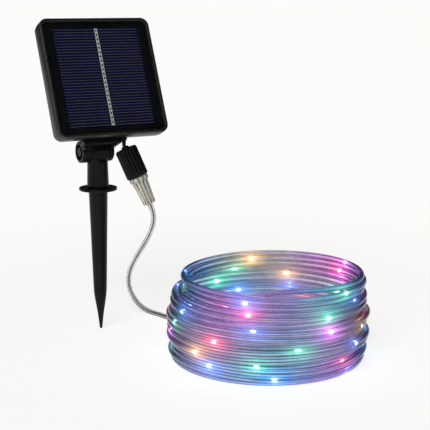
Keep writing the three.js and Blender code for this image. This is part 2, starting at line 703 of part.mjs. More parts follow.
function endCap() {
  const tail = new TailCurve();
  const end = tail.getPoint(1);
  const along = tail.getTangent(1);
  const geometry = new THREE.CylinderGeometry(CAP.r - 0.2, CAP.r, CAP.l, 16);
  geometry.applyQuaternion(new THREE.Quaternion().setFromUnitVectors(new THREE.Vector3(0, 1, 0), along));
  const centre = end.addScaledVector(along, CAP.l / 2 + GAP);
  geometry.translate(centre.x, centre.y, centre.z);
  return toSolid(geometry);
}

add('light_tube_lead', tube(curveThrough(LEAD_ROUTE), TUBE_R, 26, 10), clear());
add('light_tube_coil', coilRing(), clear());
add('light_tube_tail', tube(new TailCurve(), TUBE_R, 18, 10), clear());
add('tube_end_cap', endCap(), black());

export default assembly;
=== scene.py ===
"""Solar string lights: the panel, its stake and the wound light tube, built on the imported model."""

import json
import math

import bmesh
import bpy
import numpy as np
from mathutils import Matrix, Vector


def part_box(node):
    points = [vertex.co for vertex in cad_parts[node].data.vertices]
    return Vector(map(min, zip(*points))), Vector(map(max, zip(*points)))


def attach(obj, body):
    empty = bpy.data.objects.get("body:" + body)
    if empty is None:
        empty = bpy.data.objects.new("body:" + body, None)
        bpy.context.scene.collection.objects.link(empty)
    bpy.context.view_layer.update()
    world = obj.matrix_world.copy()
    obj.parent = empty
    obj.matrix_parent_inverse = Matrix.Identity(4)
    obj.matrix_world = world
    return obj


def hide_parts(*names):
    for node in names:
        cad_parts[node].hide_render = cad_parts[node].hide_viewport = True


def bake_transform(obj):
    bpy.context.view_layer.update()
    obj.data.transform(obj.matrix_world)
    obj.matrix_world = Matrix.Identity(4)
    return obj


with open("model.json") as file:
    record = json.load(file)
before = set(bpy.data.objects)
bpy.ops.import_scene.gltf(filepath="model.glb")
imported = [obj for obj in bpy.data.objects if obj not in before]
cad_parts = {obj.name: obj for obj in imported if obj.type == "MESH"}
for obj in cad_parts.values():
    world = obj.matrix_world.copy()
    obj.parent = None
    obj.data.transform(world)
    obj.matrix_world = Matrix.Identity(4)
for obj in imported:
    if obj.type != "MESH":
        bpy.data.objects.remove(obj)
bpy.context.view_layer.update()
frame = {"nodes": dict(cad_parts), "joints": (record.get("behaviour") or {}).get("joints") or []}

MM = 0.001
TAU = 2 * math.pi
Z_TO_X = Matrix.Rotation(math.pi / 2, 4, "Y")    # turns a body about z into one about x
Z_TO_Y = Matrix.Rotation(-math.pi / 2, 4, "X")   # and into one about y

# ---- Sizes, in metres, from the frame ----

JOINTS = {joint["name"]: joint for joint in frame["joints"]}
TILT_AXIS_Z = JOINTS["panel_tilt"]["pos_m"][2]
PRESS_AXIS = Vector(JOINTS["power_button_press"]["axis"])
TILT = math.atan2(PRESS_AXIS.z, -PRESS_AXIS.y)
CONNECTOR_AXIS = Vector(JOINTS["coupling_nut_turn"]["axis"]).normalized()
NUT_CENTRE = Vector(JOINTS["coupling_nut_turn"]["pos_m"])

# The head's frame has its origin on the tilt axis, y towards the back of the housing, z up the panel
HEAD = Matrix.Translation((0, 0, TILT_AXIS_Z)) @ Matrix.Rotation(-TILT, 4, "X")


def connector_matrix():
    """The connector's frame: z runs up its axis, and its origin is the nut's centre."""
    bearing = math.atan2(-CONNECTOR_AXIS.y, -CONNECTOR_AXIS.x)
    lean = math.acos(CONNECTOR_AXIS.z)
    return Matrix.Translation(NUT_CENTRE) @ Matrix.Rotation(bearing, 4, "Z") @ Matrix.Rotation(-lean, 4, "Y")


CONNECTOR = connector_matrix()


def local_box(node, to_local):
    """A CAD node's lowest and highest corners in a frame of its own."""
    points = [to_local @ v.co for v in frame["nodes"][node].data.vertices]
    low = Vector([min(p[k] for p in points) for k in range(3)])
    high = Vector([max(p[k] for p in points) for k in range(3)])
    return low, high


# ---- Camera ----


def in_scene(name, data):
    """An object in the scene that holds some data, such as a mesh."""
    obj = bpy.data.objects.new(name, data)
    bpy.context.scene.collection.objects.link(obj)
    return obj


VIEW_AZIMUTH = math.radians(-30.2)
VIEW_ELEVATION = math.radians(11.2)
VIEW_DISTANCE = 1.0
AIM = Vector((0.0935, -0.0544, 0.1094))


def make_camera():
    """A camera that looks at the object from the left of its front and a little above."""
    back = Vector((
        math.sin(VIEW_AZIMUTH) * math.cos(VIEW_ELEVATION),
        -math.cos(VIEW_AZIMUTH) * math.cos(VIEW_ELEVATION),
        math.sin(VIEW_ELEVATION),
    ))
    data = bpy.data.cameras.new("camera")
    data.sensor_width = 36
    data.lens = 90
    camera = in_scene("camera", data)
    camera.location = AIM + back * VIEW_DISTANCE
    camera.rotation_mode = "QUATERNION"
    camera.rotation_quaternion = (-back).to_track_quat("-Z", "Y")
    bpy.context.scene.camera = camera


make_camera()

# ---- Small tools for meshes ----


def new_object(name, points, faces, matrix=None):
    """A mesh object from points in a local frame, which matrix takes to the row frame."""
    mesh = bpy.data.meshes.new(name)
    mesh.from_pydata([tuple(p) for p in points], [], faces)
    if matrix is not None:
        mesh.transform(matrix)
    mesh.validate()
    return in_scene(name, mesh)


def object_from(bm, name, matrix=None):
    """A mesh object from a bmesh, which is freed."""
    mesh = bpy.data.meshes.new(name)
    bm.to_mesh(mesh)
    bm.free()
    if matrix is not None:
        mesh.transform(matrix)
    return in_scene(name, mesh)


def smooth(obj, sharp_above=35):
    """Smooth shading that keeps edges sharper than an angle in degrees."""
    obj.data.shade_smooth()
    obj.data.set_sharp_from_angle(angle=math.radians(sharp_above))
    return obj


def ring_faces(rings, count, closed_rings=False):
    """Quads between rings of count points each."""
    faces = []
    pairs = rings if closed_rings else rings - 1
    for ring in range(pairs):
        low, high = ring * count, (ring + 1) % rings * count
        for side in range(count):
            after = (side + 1) % count
            faces.append((low + side, low + after, high + after, high + side))
    return faces


def capped(rings, count):
    """The faces of a closed body of rings of count points each, with a cap on both ends."""
    last = (rings - 1) * count
    ends = [tuple(range(count))[::-1], tuple(range(last, last + count))]
    return ring_faces(rings, count) + ends


def arc(centre, radius, start, end, steps=6):
    """Points of a circle's arc, angles in degrees."""
    angles = [math.radians(start + (end - start) * k / steps) for k in range(steps + 1)]
    return [(centre[0] + radius * math.cos(a), centre[1] + radius * math.sin(a)) for a in angles]


def turned(name, profile, matrix=None, sides=96, ripple=None):
    """A body turned about z from (radius, z) points in millimetres that run anticlockwise round the section.

    A profile whose ends lie on the axis closes there, and any other closes on itself. ripple gives the
    radius as a function of radius, z and angle.
    """
    on_axis = profile[0][0] == 0 and profile[-1][0] == 0
    inner = profile[1:-1] if on_axis else profile
    points = []
    for radius, z in inner:
        for k in range(sides):
            angle = TAU * k / sides
            r = ripple(radius, z, angle) if ripple else radius
            points.append((r * math.cos(angle) * MM, r * math.sin(angle) * MM, z * MM))
    faces = ring_faces(len(inner), sides, closed_rings=not on_axis)
    if on_axis:
        first, last = len(points), len(points) + 1
        points += [(0, 0, profile[0][1] * MM), (0, 0, profile[-1][1] * MM)]
        top = (len(inner) - 1) * sides
        for k in range(sides):
            after = (k + 1) % sides
            faces.append((first, after, k))
            faces.append((last, top + k, top + after))
    return new_object(name, points, faces, matrix)


def rod(radius, z0, z1):
    """Half section of a plain round rod from z0 to z1."""
    return [(0, z0), (radius, z0), (radius, z1), (0, z1)]


def along_x(radius, x0, x1, y=0.0, z=0.0, edge=0.0, sides=96):
    """A round rod along x in the head's frame, with rounded edges, millimetres."""
    if edge:
        profile = [(0, x0), *arc((radius - edge, x0 + edge), edge, -90, 0)]
        profile += [*arc((radius - edge, x1 - edge), edge, 0, 90), (0, x1)]
    else:
        profile = rod(radius, x0, x1)
    turn = Matrix.Translation((0, y * MM, z * MM)) @ Z_TO_X
    return turned("rod", profile, HEAD @ turn, sides)


def along_y(profile, x, z, sides=64):
    """A body turned about the head's y, from (radius, y) points in millimetres."""
    turn = Matrix.Translation((x * MM, 0, z * MM)) @ Z_TO_Y
    return turned("post", profile, HEAD @ turn, sides)


def along_z(profile, x, y, sides=64):
    """A body turned about the head's z, from (radius, z) points in millimetres."""
    return turned("post", profile, HEAD @ Matrix.Translation((x * MM, y * MM, 0)), sides)


def block(x0, x1, y0, y1, z0, z1, matrix=HEAD, edge=0.0):
    """A box with rounded edges in a local frame, millimetres."""
    bm = bmesh.new()
    bmesh.ops.create_cube(bm, size=1)
    size = Vector((x1 - x0, y1 - y0, z1 - z0)) * MM
    centre = Vector((x0 + x1, y0 + y1, z0 + z1)) * MM / 2
    bmesh.ops.transform(bm, matrix=Matrix.Translation(centre) @ Matrix.Diagonal((*size, 1)), verts=bm.verts)
    if edge:
        bmesh.ops.bevel(bm, geom=bm.edges[:], offset=edge * MM, segments=3, profile=0.5, affect="EDGES")
    return object_from(bm, "block", matrix)


def applied(obj):
    """The object with its modifiers applied."""
    graph = bpy.context.evaluated_depsgraph_get()
    mesh = bpy.data.meshes.new_from_object(obj.evaluated_get(graph))
    obj.modifiers.clear()
    obj.data = mesh
    return obj


def boolean(obj, others, operation):
    """Joins others to obj or cuts them from it, and removes them."""
    for other in others:
        modifier = obj.modifiers.new("boolean", "BOOLEAN")
        modifier.operation = operation
        modifier.solver = "MANIFOLD"
        modifier.object = other
        applied(obj)
        bpy.data.objects.remove(other)
    return obj


def moulded(obj, voxel, rounds):
    """Turns sharp inner and outer edges into the small fillets of a moulding; voxel in millimetres."""
    remesh = obj.modifiers.new("remesh", "REMESH")
    remesh.mode = "VOXEL"
    remesh.voxel_size = voxel * MM
    ease = obj.modifiers.new("ease", "SMOOTH")
    ease.factor = 0.5
    ease.iterations = rounds
    applied(obj)
    obj.data.shade_smooth()
    return obj


# ---- Materials ----


class Nodes:
    """A node tree, built a step at a time."""

    def __init__(self, owner):
        owner.use_nodes = True
        self.tree = owner.node_tree

    def add(self, kind, **values):
        """A node, with its properties and the values of its sockets."""
        node = self.tree.nodes.new(kind)
        for key, value in values.items():
            if hasattr(node, key):
                setattr(node, key, value)
            else:
                node.inputs[key.replace("_", " ")].default_value = value
        return node

    def link(self, source, target):
        self.tree.links.new(source, target)

    def patch(self, value, low, high, strength=1.0):
        """A value that rises smoothly from 0 to strength between two bounds."""
        node = self.add("ShaderNodeMapRange", interpolation_type="SMOOTHSTEP", From_Min=low, From_Max=high)
        node.inputs["To Max"].default_value = strength
        self.link(value, node.inputs["Value"])
        return node.outputs["Result"]

    def math(self, operation, first, second=None):
        """A value worked out from one or two others, where the second may be a number."""
        node = self.add("ShaderNodeMath", operation=operation)
        self.link(first, node.inputs[0])
        if isinstance(second, (int, float)):
            node.inputs[1].default_value = second
        elif second is not None:
            self.link(second, node.inputs[1])
        return node.outputs[0]

    def mix_shaders(self, factor, first, second, target):
        """Two shaders mixed by a factor into an output's surface."""
        node = self.add("ShaderNodeMixShader")
        self.link(factor, node.inputs["Fac"])
        self.link(first.outputs[0], node.inputs[1])
        self.link(second.outputs[0], node.inputs[2])
        self.link(node.outputs["Shader"], target.inputs["Surface"])


class Surface(Nodes):
    """One object's node material."""

    def __init__(self, name):
        self.material = bpy.data.materials.new(name)
        super().__init__(self.material)
        self.shader = self.tree.nodes["Principled BSDF"]
        self.object_coords = self.add("ShaderNodeTexCoord").outputs["Object"]

    def set(self, **values):
        """Values on the shader's own sockets."""
        for key, value in values.items():
            self.shader.inputs[key.replace("_", " ")].default_value = value
        return self

    def noise(self, scale, detail=3.0, coords=None, stretch=None):
        """Noise in the object's own coordinates, scale in features per metre."""
        node = self.add("ShaderNodeTexNoise", Scale=scale, Detail=detail)
        source = coords or self.object_coords
        if stretch:
            mapping = self.add("ShaderNodeMapping")
            mapping.inputs["Scale"].default_value = stretch
            self.link(source, mapping.inputs["Vector"])
            source = mapping.outputs["Vector"]
        self.link(source, node.inputs["Vector"])
        return node.outputs["Fac"]

    def ramp(self, value, low, high, stops=(0.35, 0.65)):
        """Two colours blended by a value."""
        node = self.add("ShaderNodeValToRGB")
        for element, place, colour in zip(node.color_ramp.elements, stops, (low, high)):
            element.position = place
            element.color = (*colour, 1)
        self.link(value, node.inputs["Fac"])
        return node.outputs["Color"]

    def blend(self, factor, first, second):
        """Two colours mixed by a factor, where the second may be a plain colour."""
        node = self.add("ShaderNodeMix", data_type="RGBA")
        self.link(factor, node.inputs["Factor"])
        self.link(first, node.inputs[6])
        if isinstance(second, tuple):
            node.inputs[7].default_value = (*second, 1)
        else:
            self.link(second, node.inputs[7])
        return node.outputs[2]

    def span(self, value, low, high, source=(0.3, 0.7)):
        """A value mapped to a range."""
        start, end = source
        node = self.add("ShaderNodeMapRange", From_Min=start, From_Max=end, To_Min=low, To_Max=high)
        self.link(value, node.inputs["Value"])
        return node.outputs["Result"]

    def color(self, source):
        self.link(source, self.shader.inputs["Base Color"])
        return self

    def rough(self, source):
        self.link(source, self.shader.inputs["Roughness"])
        return self

    def bump(self, height, strength, distance):
        node = self.add("ShaderNodeBump", Strength=strength, Distance=distance)
        self.link(height, node.inputs["Height"])
        self.link(node.outputs["Normal"], self.shader.inputs["Normal"])
        return self

    def mottle(self, scale, detail, low, high, roughness):
        """Two tones and a roughness that follow one noise, which is given back."""
        grain = self.noise(scale, detail)
        self.color(self.ramp(grain, low, high))
        self.rough(self.span(grain, *roughness))
        return grain

    def frame_coords(self, matrix):
        """Object coordinates taken into a local frame whose place is matrix."""
        inverse = matrix.inverted()
        mapping = self.add(
            "ShaderNodeMapping", Rotation=inverse.to_euler(), Location=inverse.to_translation(),
        )
        self.link(self.object_coords, mapping.inputs["Vector"])
        return mapping.outputs["Vector"]


def plastic(name, base, roughness, specular):
    """Moulded plastic with a fine grain, slow flow marks, and sharp edges lightened as rubbed wear and as a
    painted highlight.
    """
    s = Surface(name).set(Specular_IOR_Level=specular)
    tone = s.ramp(s.noise(38, 4.0), base, tuple(c * 1.4 + 0.002 for c in base))
    # painted highlight and rubbed wear: the colour turns lighter on sharp outer edges
    edge_pointiness_for_wear_and_highlight = s.add("ShaderNodeNewGeometry").outputs["Pointiness"]
    edge = s.span(edge_pointiness_for_wear_and_highlight, 0.0, 0.5, (0.52, 0.62))
    s.color(s.blend(edge, tone, tuple(c * 1.8 + 0.012 for c in base)))
    s.rough(s.span(s.noise(300, 3.0), *roughness))
    s.bump(s.noise(2600, 2.0), 0.1, 0.05 * MM)
    return s.material


def metal(name, base, roughness=(0.2, 0.36)):
    """Plated or drawn metal with fine marks."""
    s = Surface(name).set(Metallic=1.0)
    marks = s.noise(900, 4.0)
    s.color(s.ramp(marks, tuple(c * 0.75 for c in base), base, (0.3, 0.7)))
    s.rough(s.span(marks, *roughness))
    s.bump(marks, 0.15, 0.03 * MM)
    return s.material


def rubber(name, base, roughness=(0.5, 0.68)):
    """Rubber or soft PVC with a slightly uneven skin."""
    s = Surface(name)
    s.mottle(500, 4.0, base, tuple(c * 1.5 + 0.004 for c in base), roughness)
    s.bump(s.noise(1800, 2.0), 0.2, 0.04 * MM)
    return s.material


def give(obj, material):
    """Puts one material on an object."""
    obj.data.materials.clear()
    obj.data.materials.append(material)
    return obj


def finished(obj, name, material, slot, body, *nodes):
    """Names a piece, gives it its material, and sets it on a body in place of CAD nodes; slot is not used."""
    obj.name = name
    give(obj, material)
    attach(obj, body)
    if nodes:
        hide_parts(*nodes)
    return obj


# ---- Light tube: where it runs ----

TUBE_D = 5.0 * MM
TUBE_R = TUBE_D / 2
COIL_CENTRE = Vector((94.2, -143.5, 0)) * MM
COIL_SLIP = Vector((4.1, -2.4)) * MM  # how far the top turns sit off centre
SLIP_HEIGHTS = (50 * MM, 66 * MM)     # where the slip sets in and where it is complete
COIL_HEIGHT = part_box("light_tube_coil")[1].z
BAND_RADII = np.array((87.7, 89.6, 90.1, 88.2, 82.0)) * MM   # of the winding's bands, from below
BAND_NOTCH = 1.9 * MM
BAND_SHOULDER = 0.3                   # the share of a band's height over which it rounds off
TURNS = 18 + 160 / 360
STEPS_PER_TURN = 48
WALL_SPREAD = 4.0 * MM                # how far inwards of the outermost turns a turn may lie
WANDERS_PER_TURN = 5                  # how often a turn changes how far inwards it lies
BOTTOM_TURN = 0.55                    # how much of the first turn lies flat on the floor
SETTLING_ROUNDS = 600
FIRST_ANGLE = math.radians(50)
LEAVING_ANGLE = math.radians(50)      # over which the top turn leaves the wall
TAIL_R = 65 * MM
TAIL_ANGLES = (math.radians(-110), math.radians(-270))

# Centre line from the connector to the outside of the coil, in metres, as in part.mjs
LEAD_ROUTE = [
    (0.0413, -0.0239, 0.1201), (0.043, -0.0248, 0.1156), (0.0443, -0.0251, 0.1105), (0.0449, -0.0244, 0.1045),
    (0.0446, -0.0219, 0.0975), (0.0435, -0.0182, 0.09), (0.0414, -0.0133, 0.0816), (0.0388, -0.0072, 0.0723),
    (0.0372, -0.0004, 0.0635), (0.0365, 0.0067, 0.0549), (0.0368, 0.0134, 0.046), (0.0385, 0.0192, 0.037),
    (0.0414, 0.0234, 0.0285), (0.0453, 0.0255, 0.0205), (0.0498, 0.0256, 0.013), (0.0546, 0.0232, 0.007),
    (0.0589, 0.0186, 0.0036), (0.0624, 0.0124, 0.0026), (0.0646, 0.0046, 0.0025), (0.0665, -0.0043, 0.0025),
    (0.0683, -0.0147, 0.0025), (0.0709, -0.0258, 0.0025), (0.0747, -0.037, 0.0025), (0.08, -0.0456, 0.0025),
    (0.0861, -0.0512, 0.0025),
]


def eased(t):
    """0 to 1 with a smooth start and end."""
    t = np.clip(t, 0, 1)
    return t * t * (3 - 2 * t)


def band_radius(z):
    """The winding's outer radius at a height: bands of turns with a shallow waist between two of them."""
    radii = BAND_RADII
    band_height = COIL_HEIGHT / len(radii)
    place = np.clip(z / band_height, 0, len(radii) - 0.001)
    k = place.astype(int)
    t = place - k
    below = np.minimum(radii[k], radii[np.maximum(k - 1, 0)]) - BAND_NOTCH
    above = np.minimum(radii[k], radii[np.minimum(k + 1, len(radii) - 1)]) - BAND_NOTCH
    rise = below + (radii[k] - below) * eased(t / BAND_SHOULDER)
    fall = above + (radii[k] - above) * eased((1 - t) / BAND_SHOULDER)
    return np.minimum(rise, fall)


def wound_turns():
    """The coil's turns, settled on each other, as angles, radii and heights.

    They lie no closer than about a diameter, and each wanders in and out within the wall.
    """
    count = int(round(TURNS * STEPS_PER_TURN)) + 1
    turn = np.arange(count) / STEPS_PER_TURN
    angle = FIRST_ANGLE - TAU * turn
    knots = np.random.default_rng(3).uniform(0, 1, int(TURNS * WANDERS_PER_TURN) + 3)
    wander = np.interp(turn * WANDERS_PER_TURN, np.arange(len(knots)), knots)
    climb = np.clip(turn - BOTTOM_TURN, 0, None)
    rest_z = TUBE_R + (COIL_HEIGHT - TUBE_D) * climb / climb[-1]
    outside = TUBE_R + 0.3 * MM
    z = rest_z.copy()
    r = band_radius(z) - outside - WALL_SPREAD * 0.5 * (wander + np.floor(turn) % 2)
    apart = 0.99 * TUBE_D
    for _ in range(SETTLING_ROUNDS):
        # drawn to an even climb, down by their weight, and to their place in the wall
        z += 0.01 * (rest_z - z) - 0.004 * MM
        r += 0.05 * (band_radius(z) - outside - WALL_SPREAD * wander - r)
        # evened out along the tube
        for x in (r, z):
            x[1:-1] += 0.3 * (0.5 * (x[:-2] + x[2:]) - x[1:-1])
        # pushed off the next turn and the one after it, and kept in the wall
        for _ in range(3):
            for turns_on in (1, 2):
                low = slice(0, count - turns_on * STEPS_PER_TURN)
                high = slice(turns_on * STEPS_PER_TURN, count)
                dr, dz = r[high] - r[low], z[high] - z[low]
                gap = np.maximum(np.hypot(dr, dz), 1e-6)
                push = np.maximum(apart - gap, 0) * 0.45
                r[low] -= push * dr / gap
                z[low] -= push * dz / gap
                r[high] += push * dr / gap
                z[high] += push * dz / gap
            z = np.clip(z, TUBE_R, COIL_HEIGHT - TUBE_R)
            r = np.clip(r, band_radius(z) - outside - WALL_SPREAD, band_radius(z) - outside)
    return angle, r, z


def through(points, step):
    """A centripetal Catmull-Rom curve through points, in steps of about that length."""
    def between(t, start, end, first, second):
        return (end - t) / (end - start) * first + (t - start) / (end - start) * second

    p = np.array(points, float)
    p = np.vstack([2 * p[0] - p[1], p, 2 * p[-1] - p[-2]])
    out = []
    for k in range(1, len(p) - 2):
        a, b, c, d = p[k - 1:k + 3]
        knots = [0.0]
        for start, end in ((a, b), (b, c), (c, d)):
            knots.append(knots[-1] + math.sqrt(np.linalg.norm(end - start)))
        t0, t1, t2, t3 = knots
        for t in np.linspace(t1, t2, max(2, int(np.linalg.norm(c - b) / step) + 1), endpoint=False):
            bc = between(t, t1, t2, b, c)
            abc = between(t, t0, t2, between(t, t0, t1, a, b), bc)
            bcd = between(t, t1, t3, bc, between(t, t2, t3, c, d))
            out.append(between(t, t1, t2, abc, bcd))
    out.append(p[-2])
    return np.array(out)


def even(line, step):
    """The same line with its points evenly spaced."""
    along = np.concatenate([[0], np.cumsum(np.linalg.norm(np.diff(line, axis=0), axis=1))])
    at = np.linspace(0, along[-1], int(along[-1] / step) + 1)
    return np.stack([np.interp(at, along, line[:, k]) for k in range(3)], axis=1)


def round_coil(angle, r, z):
    """Points at angles and radii about the coil's centre, which the top turns have slipped off."""
    low, high = SLIP_HEIGHTS
    slip = eased((z - low) / (high - low))
    x = COIL_CENTRE.x + COIL_SLIP.x * slip + r * np.cos(angle)
    y = COIL_CENTRE.y + COIL_SLIP.y * slip + r * np.sin(angle)
    return np.stack([x, y, z], axis=1)


TUBE_STEP = 2.4 * MM
SOCKET_DEPTH = 9 * MM                 # how far the tube reaches into its socket
ARRIVAL_STEPS = 24                    # of the stretch from the lead to the bottom turn
TAIL_STEPS = 60                       # of the free end inside the coil
EASING_ROUNDS = 4                     # that smooth the joins between the stretches


def tube_line():
    """The light tube's whole centre line, from inside the socket to its end in the coil."""
    exit_point = np.array(LEAD_ROUTE[0])
    inside = exit_point + np.array(CONNECTOR_AXIS) * SOCKET_DEPTH
    lead = through([inside, exit_point + np.array(CONNECTOR_AXIS) * 3 * MM, *LEAD_ROUTE], TUBE_STEP)
    angle, r, z = wound_turns()
    # onto the floor beside the bottom turn, then inwards to it
    off_x, off_y = lead[-1][0] - COIL_CENTRE.x, lead[-1][1] - COIL_CENTRE.y
    arrive = math.atan2(off_y, off_x)
    arrive_r = math.hypot(off_x, off_y)
    share = np.linspace(0, 1, ARRIVAL_STEPS)[1:-1]
    inwards = round_coil(
        arrive + (FIRST_ANGLE - arrive) * share,
        arrive_r + (r[0] - arrive_r) * eased(share),
        np.full(len(share), TUBE_R),
    )
    # the top turn leaves the wall and runs down inside it to the floor
    leaving = 1 - eased((angle - angle[-1]) / LEAVING_ANGLE)
    r = r + (TAIL_R - r) * leaving
    turns = round_coil(angle, r, z)
    share = np.linspace(0, 1, TAIL_STEPS)[1:]
    cap_low, cap_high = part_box("tube_end_cap")
    end_z = (cap_low.z + cap_high.z) / 2
    tail = round_coil(
        TAIL_ANGLES[0] + (TAIL_ANGLES[1] - TAIL_ANGLES[0]) * share,
        np.full(len(share), TAIL_R),
        z[-1] + (end_z - z[-1]) * eased(share),
    )
    line = even(np.vstack([lead, inwards, turns, tail]), TUBE_STEP)
    for _ in range(EASING_ROUNDS):
        line[1:-1] += 0.5 * (0.5 * (line[:-2] + line[2:]) - line[1:-1])
    return even(line, TUBE_STEP)


def frames(line):
    """For each point of a line, its direction and two directions across it that don't twist."""
    tangent = np.gradient(line, axis=0)
    tangent /= np.linalg.norm(tangent, axis=1)[:, None]
    side = np.zeros_like(line)
    across = np.cross(tangent[0], (0.0, 0.0, 1.0))
    across /= np.linalg.norm(across)
    for k, along in enumerate(tangent):
        across = across - along * (across @ along)
        across /= np.linalg.norm(across)
        side[k] = across
    return tangent, side, np.cross(tangent, side)


def tube_mesh(name, line, radius, sides):
    """A round tube along a line, with closed ends."""
    _, side, up = frames(line)
    angles = TAU * np.arange(sides) / sides
    rings = (
        line[:, None, :]
        + radius * np.cos(angles)[None, :, None] * side[:, None, :]
        + radius * np.sin(angles)[None, :, None] * up[:, None, :]
    )
    return new_object(name, rings.reshape(-1, 3), capped(len(line), sides))


LINE = tube_line()

# ---- Light tube: lamps, wires and glow ----

LAMP_COLOURS = {
    "red": (1.0, 0.04, 0.1),
    "green": (0.03, 0.62, 0.26),
    "blue": (0.05, 0.26, 1.0),
    "yellow": (1.0, 0.5, 0.06),
    "pink": (0.9, 0.13, 0.9),
}
LAMP_INITIALS = {name[0]: name for name in LAMP_COLOURS}
LAMP_ORDER = "bgrbygbprg"             # the colours' initials, repeated along the tube
LAMP_FIRST = 470 * MM                 # along the tube from its start
LAMP_SPACING = 195 * MM
LAMP_COUNT = 49
# how far each part of a lamp's glow reaches along the tube and across it
CORE_REACH = (3.2 * MM, 2.6 * MM)
HALO_REACH = (11.5 * MM, 6.8 * MM)
WASH_REACH = (42 * MM, 17 * MM)
CORE, HALO, WASH = 1.7, 0.72, 0.34    # their strengths
FAR_WEIGHT = 0.5                      # how much the lamps out of reach count in the wash
LEAD_FROM, COIL_FROM = 0.108, 0.094   # from the coil's centre: tube further out is lead, nearer is coil
FAR_TINT = np.array((0.14, 0.25, 1.0))   # what the lamps out of reach lend to the wash


def lamps():
    """Colour name, place and direction of each lamp."""
    tangent, _, _ = frames(LINE)
    found = []
    for k in range(LAMP_COUNT):
        initial = LAMP_ORDER[k % len(LAMP_ORDER)]
        index = int((LAMP_FIRST + k * LAMP_SPACING) / TUBE_STEP)
        found.append((LAMP_INITIALS[initial], LINE[index], tangent[index]))
    return found


LAMPS = lamps()


def falloff(forward, across, reach):
    """How much of a lamp's light is left at distances along and across the tube."""
    return np.exp(-(forward / reach[0]) ** 2 - (across / reach[1]) ** 2)[:, None]


def glow_at(points):
    """The colour that the lamps give to points, with a hot core, a halo and a mixed wash along the turns.

    The fourth value tells the turns of the coil (1) from the lead (0).
    """
    wash = np.tile(FAR_WEIGHT * FAR_TINT, (len(points), 1))
    weight = np.full((len(points), 1), FAR_WEIGHT)
    near = np.zeros((len(points), 3))
    for name, place, along in LAMPS:
        away = points - place
        forward = away @ along
        across = np.linalg.norm(away - forward[:, None] * along, axis=1)
        colour = np.array(LAMP_COLOURS[name])
        near += CORE * falloff(forward, across, CORE_REACH) * (0.3 + 0.7 * colour)
        near += HALO * falloff(forward, across, HALO_REACH) * colour
        share = falloff(forward, across, WASH_REACH)
        wash += share * colour
        weight += share
    from_centre = np.hypot(points[:, 0] - COIL_CENTRE.x, points[:, 1] - COIL_CENTRE.y)[:, None]
    in_coil = eased((LEAD_FROM - from_centre) / (LEAD_FROM - COIL_FROM))
    return np.hstack([near + WASH * in_coil * wash / weight, in_coil])


def paint_glow(obj):
    """Stores the glow on each of a mesh's points."""
    points = np.zeros(len(obj.data.vertices) * 3)
    obj.data.vertices.foreach_get("co", points)
    glow = glow_at(points.reshape(-1, 3))
    attribute = obj.data.attributes.new("glow", "FLOAT_COLOR", "POINT")
    attribute.data.foreach_set("color", glow.ravel())


def tube_material():
    """Clear PVC tube, with the lamps' light painted on as a glow; on the coil, painted shade and lamp tint
    make its colour darker and bluer, most of all towards its edges.
    """
    s = Surface("clear_tube")
    s.set(Transmission_Weight=0.8, IOR=1.4, Specular_IOR_Level=0.6)
    haze = s.noise(90, 3.0)
    glow = s.add("ShaderNodeAttribute", attribute_name="glow")
    facing = s.add("ShaderNodeLayerWeight", Blend=0.5).outputs["Facing"]
    lead = s.ramp(haze, (0.72, 0.72, 0.71), (0.86, 0.86, 0.85))
    # painted shade and painted lamp tint: the coiled turns take a darker, bluer colour than the lead
    coil = s.ramp(haze, (0.3, 0.325, 0.43), (0.46, 0.49, 0.62))
    # painted shade: on the coil the colour darkens further towards the tube's edges, where the turns meet
    coil = s.blend(s.span(facing, 0.0, 1.0, (0.3, 0.62)), coil, (0.1, 0.13, 0.24))
    s.color(s.blend(glow.outputs["Alpha"], lead, coil))
    s.rough(s.span(s.noise(400, 3.0), 0.08, 0.2))
    s.bump(s.noise(700, 2.0), 0.12, 0.1 * MM)
    # the painted glow is dimmed along the tube's middle, a painted dark line where the wires would hide it,
    # and towards its edges, which turn away from the lamps
    middle = s.span(facing, 0.3, 1.0, (0.015, 0.06))
    edge = s.span(facing, 1.0, 0.15, (0.3, 0.6))
    s.link(glow.outputs["Color"], s.shader.inputs["Emission Color"])
    s.link(s.math("MULTIPLY", middle, edge), s.shader.inputs["Emission Strength"])
    return s.material


def lamp_material(name):
    """A lit lamp: its colour, mottled with paler spots."""
    s = Surface(f"lamp_{name}").set(Emission_Strength=5.0)
    colour = LAMP_COLOURS[name]
    grain = s.mottle(1500, 2.0, colour, tuple(0.5 + 0.5 * c for c in colour), (0.25, 0.4))
    light = s.ramp(grain, tuple(0.3 + 0.7 * c for c in colour), tuple(0.6 + 0.4 * c for c in colour))
    s.link(light, s.shader.inputs["Emission Color"])
    return s.material


def wire_material():
    """Enamelled copper seen through the tube."""
    s = Surface("copper_wire").set(Metallic=1.0)
    s.mottle(600, 3.0, (0.05, 0.045, 0.045), (0.12, 0.11, 0.105), (0.3, 0.5))
    return s.material


def cap_material():
    """Clear, slightly hazy plastic."""
    s = Surface("cap_clear").set(Transmission_Weight=0.6, IOR=1.4)
    s.mottle(300, 3.0, (0.7, 0.72, 0.75), (0.88, 0.9, 0.92), (0.15, 0.3))
    return s.material


def follow_swivel(obj):
    """Bakes the object's place into its points."""
    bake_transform(obj)


def make_tube():
    """The light tube, in place of the CAD model's three lengths of it."""
    tube = tube_mesh("light_tube", LINE, TUBE_R, 12)
    smooth(tube, 60)
    paint_glow(tube)
    give(tube, tube_material())
    follow_swivel(tube)
    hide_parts("light_tube_lead", "light_tube_coil", "light_tube_tail")
    return tube


WIRE_R = 0.34 * MM
WIRE_OFFSET = 0.9 * MM                # of each wire from the tube's centre line
SWAY = 0.35                           # how far the pair turns either way, in radians
SWAY_LENGTH = 43 * MM                 # the length of tube for each radian of the sway's phase


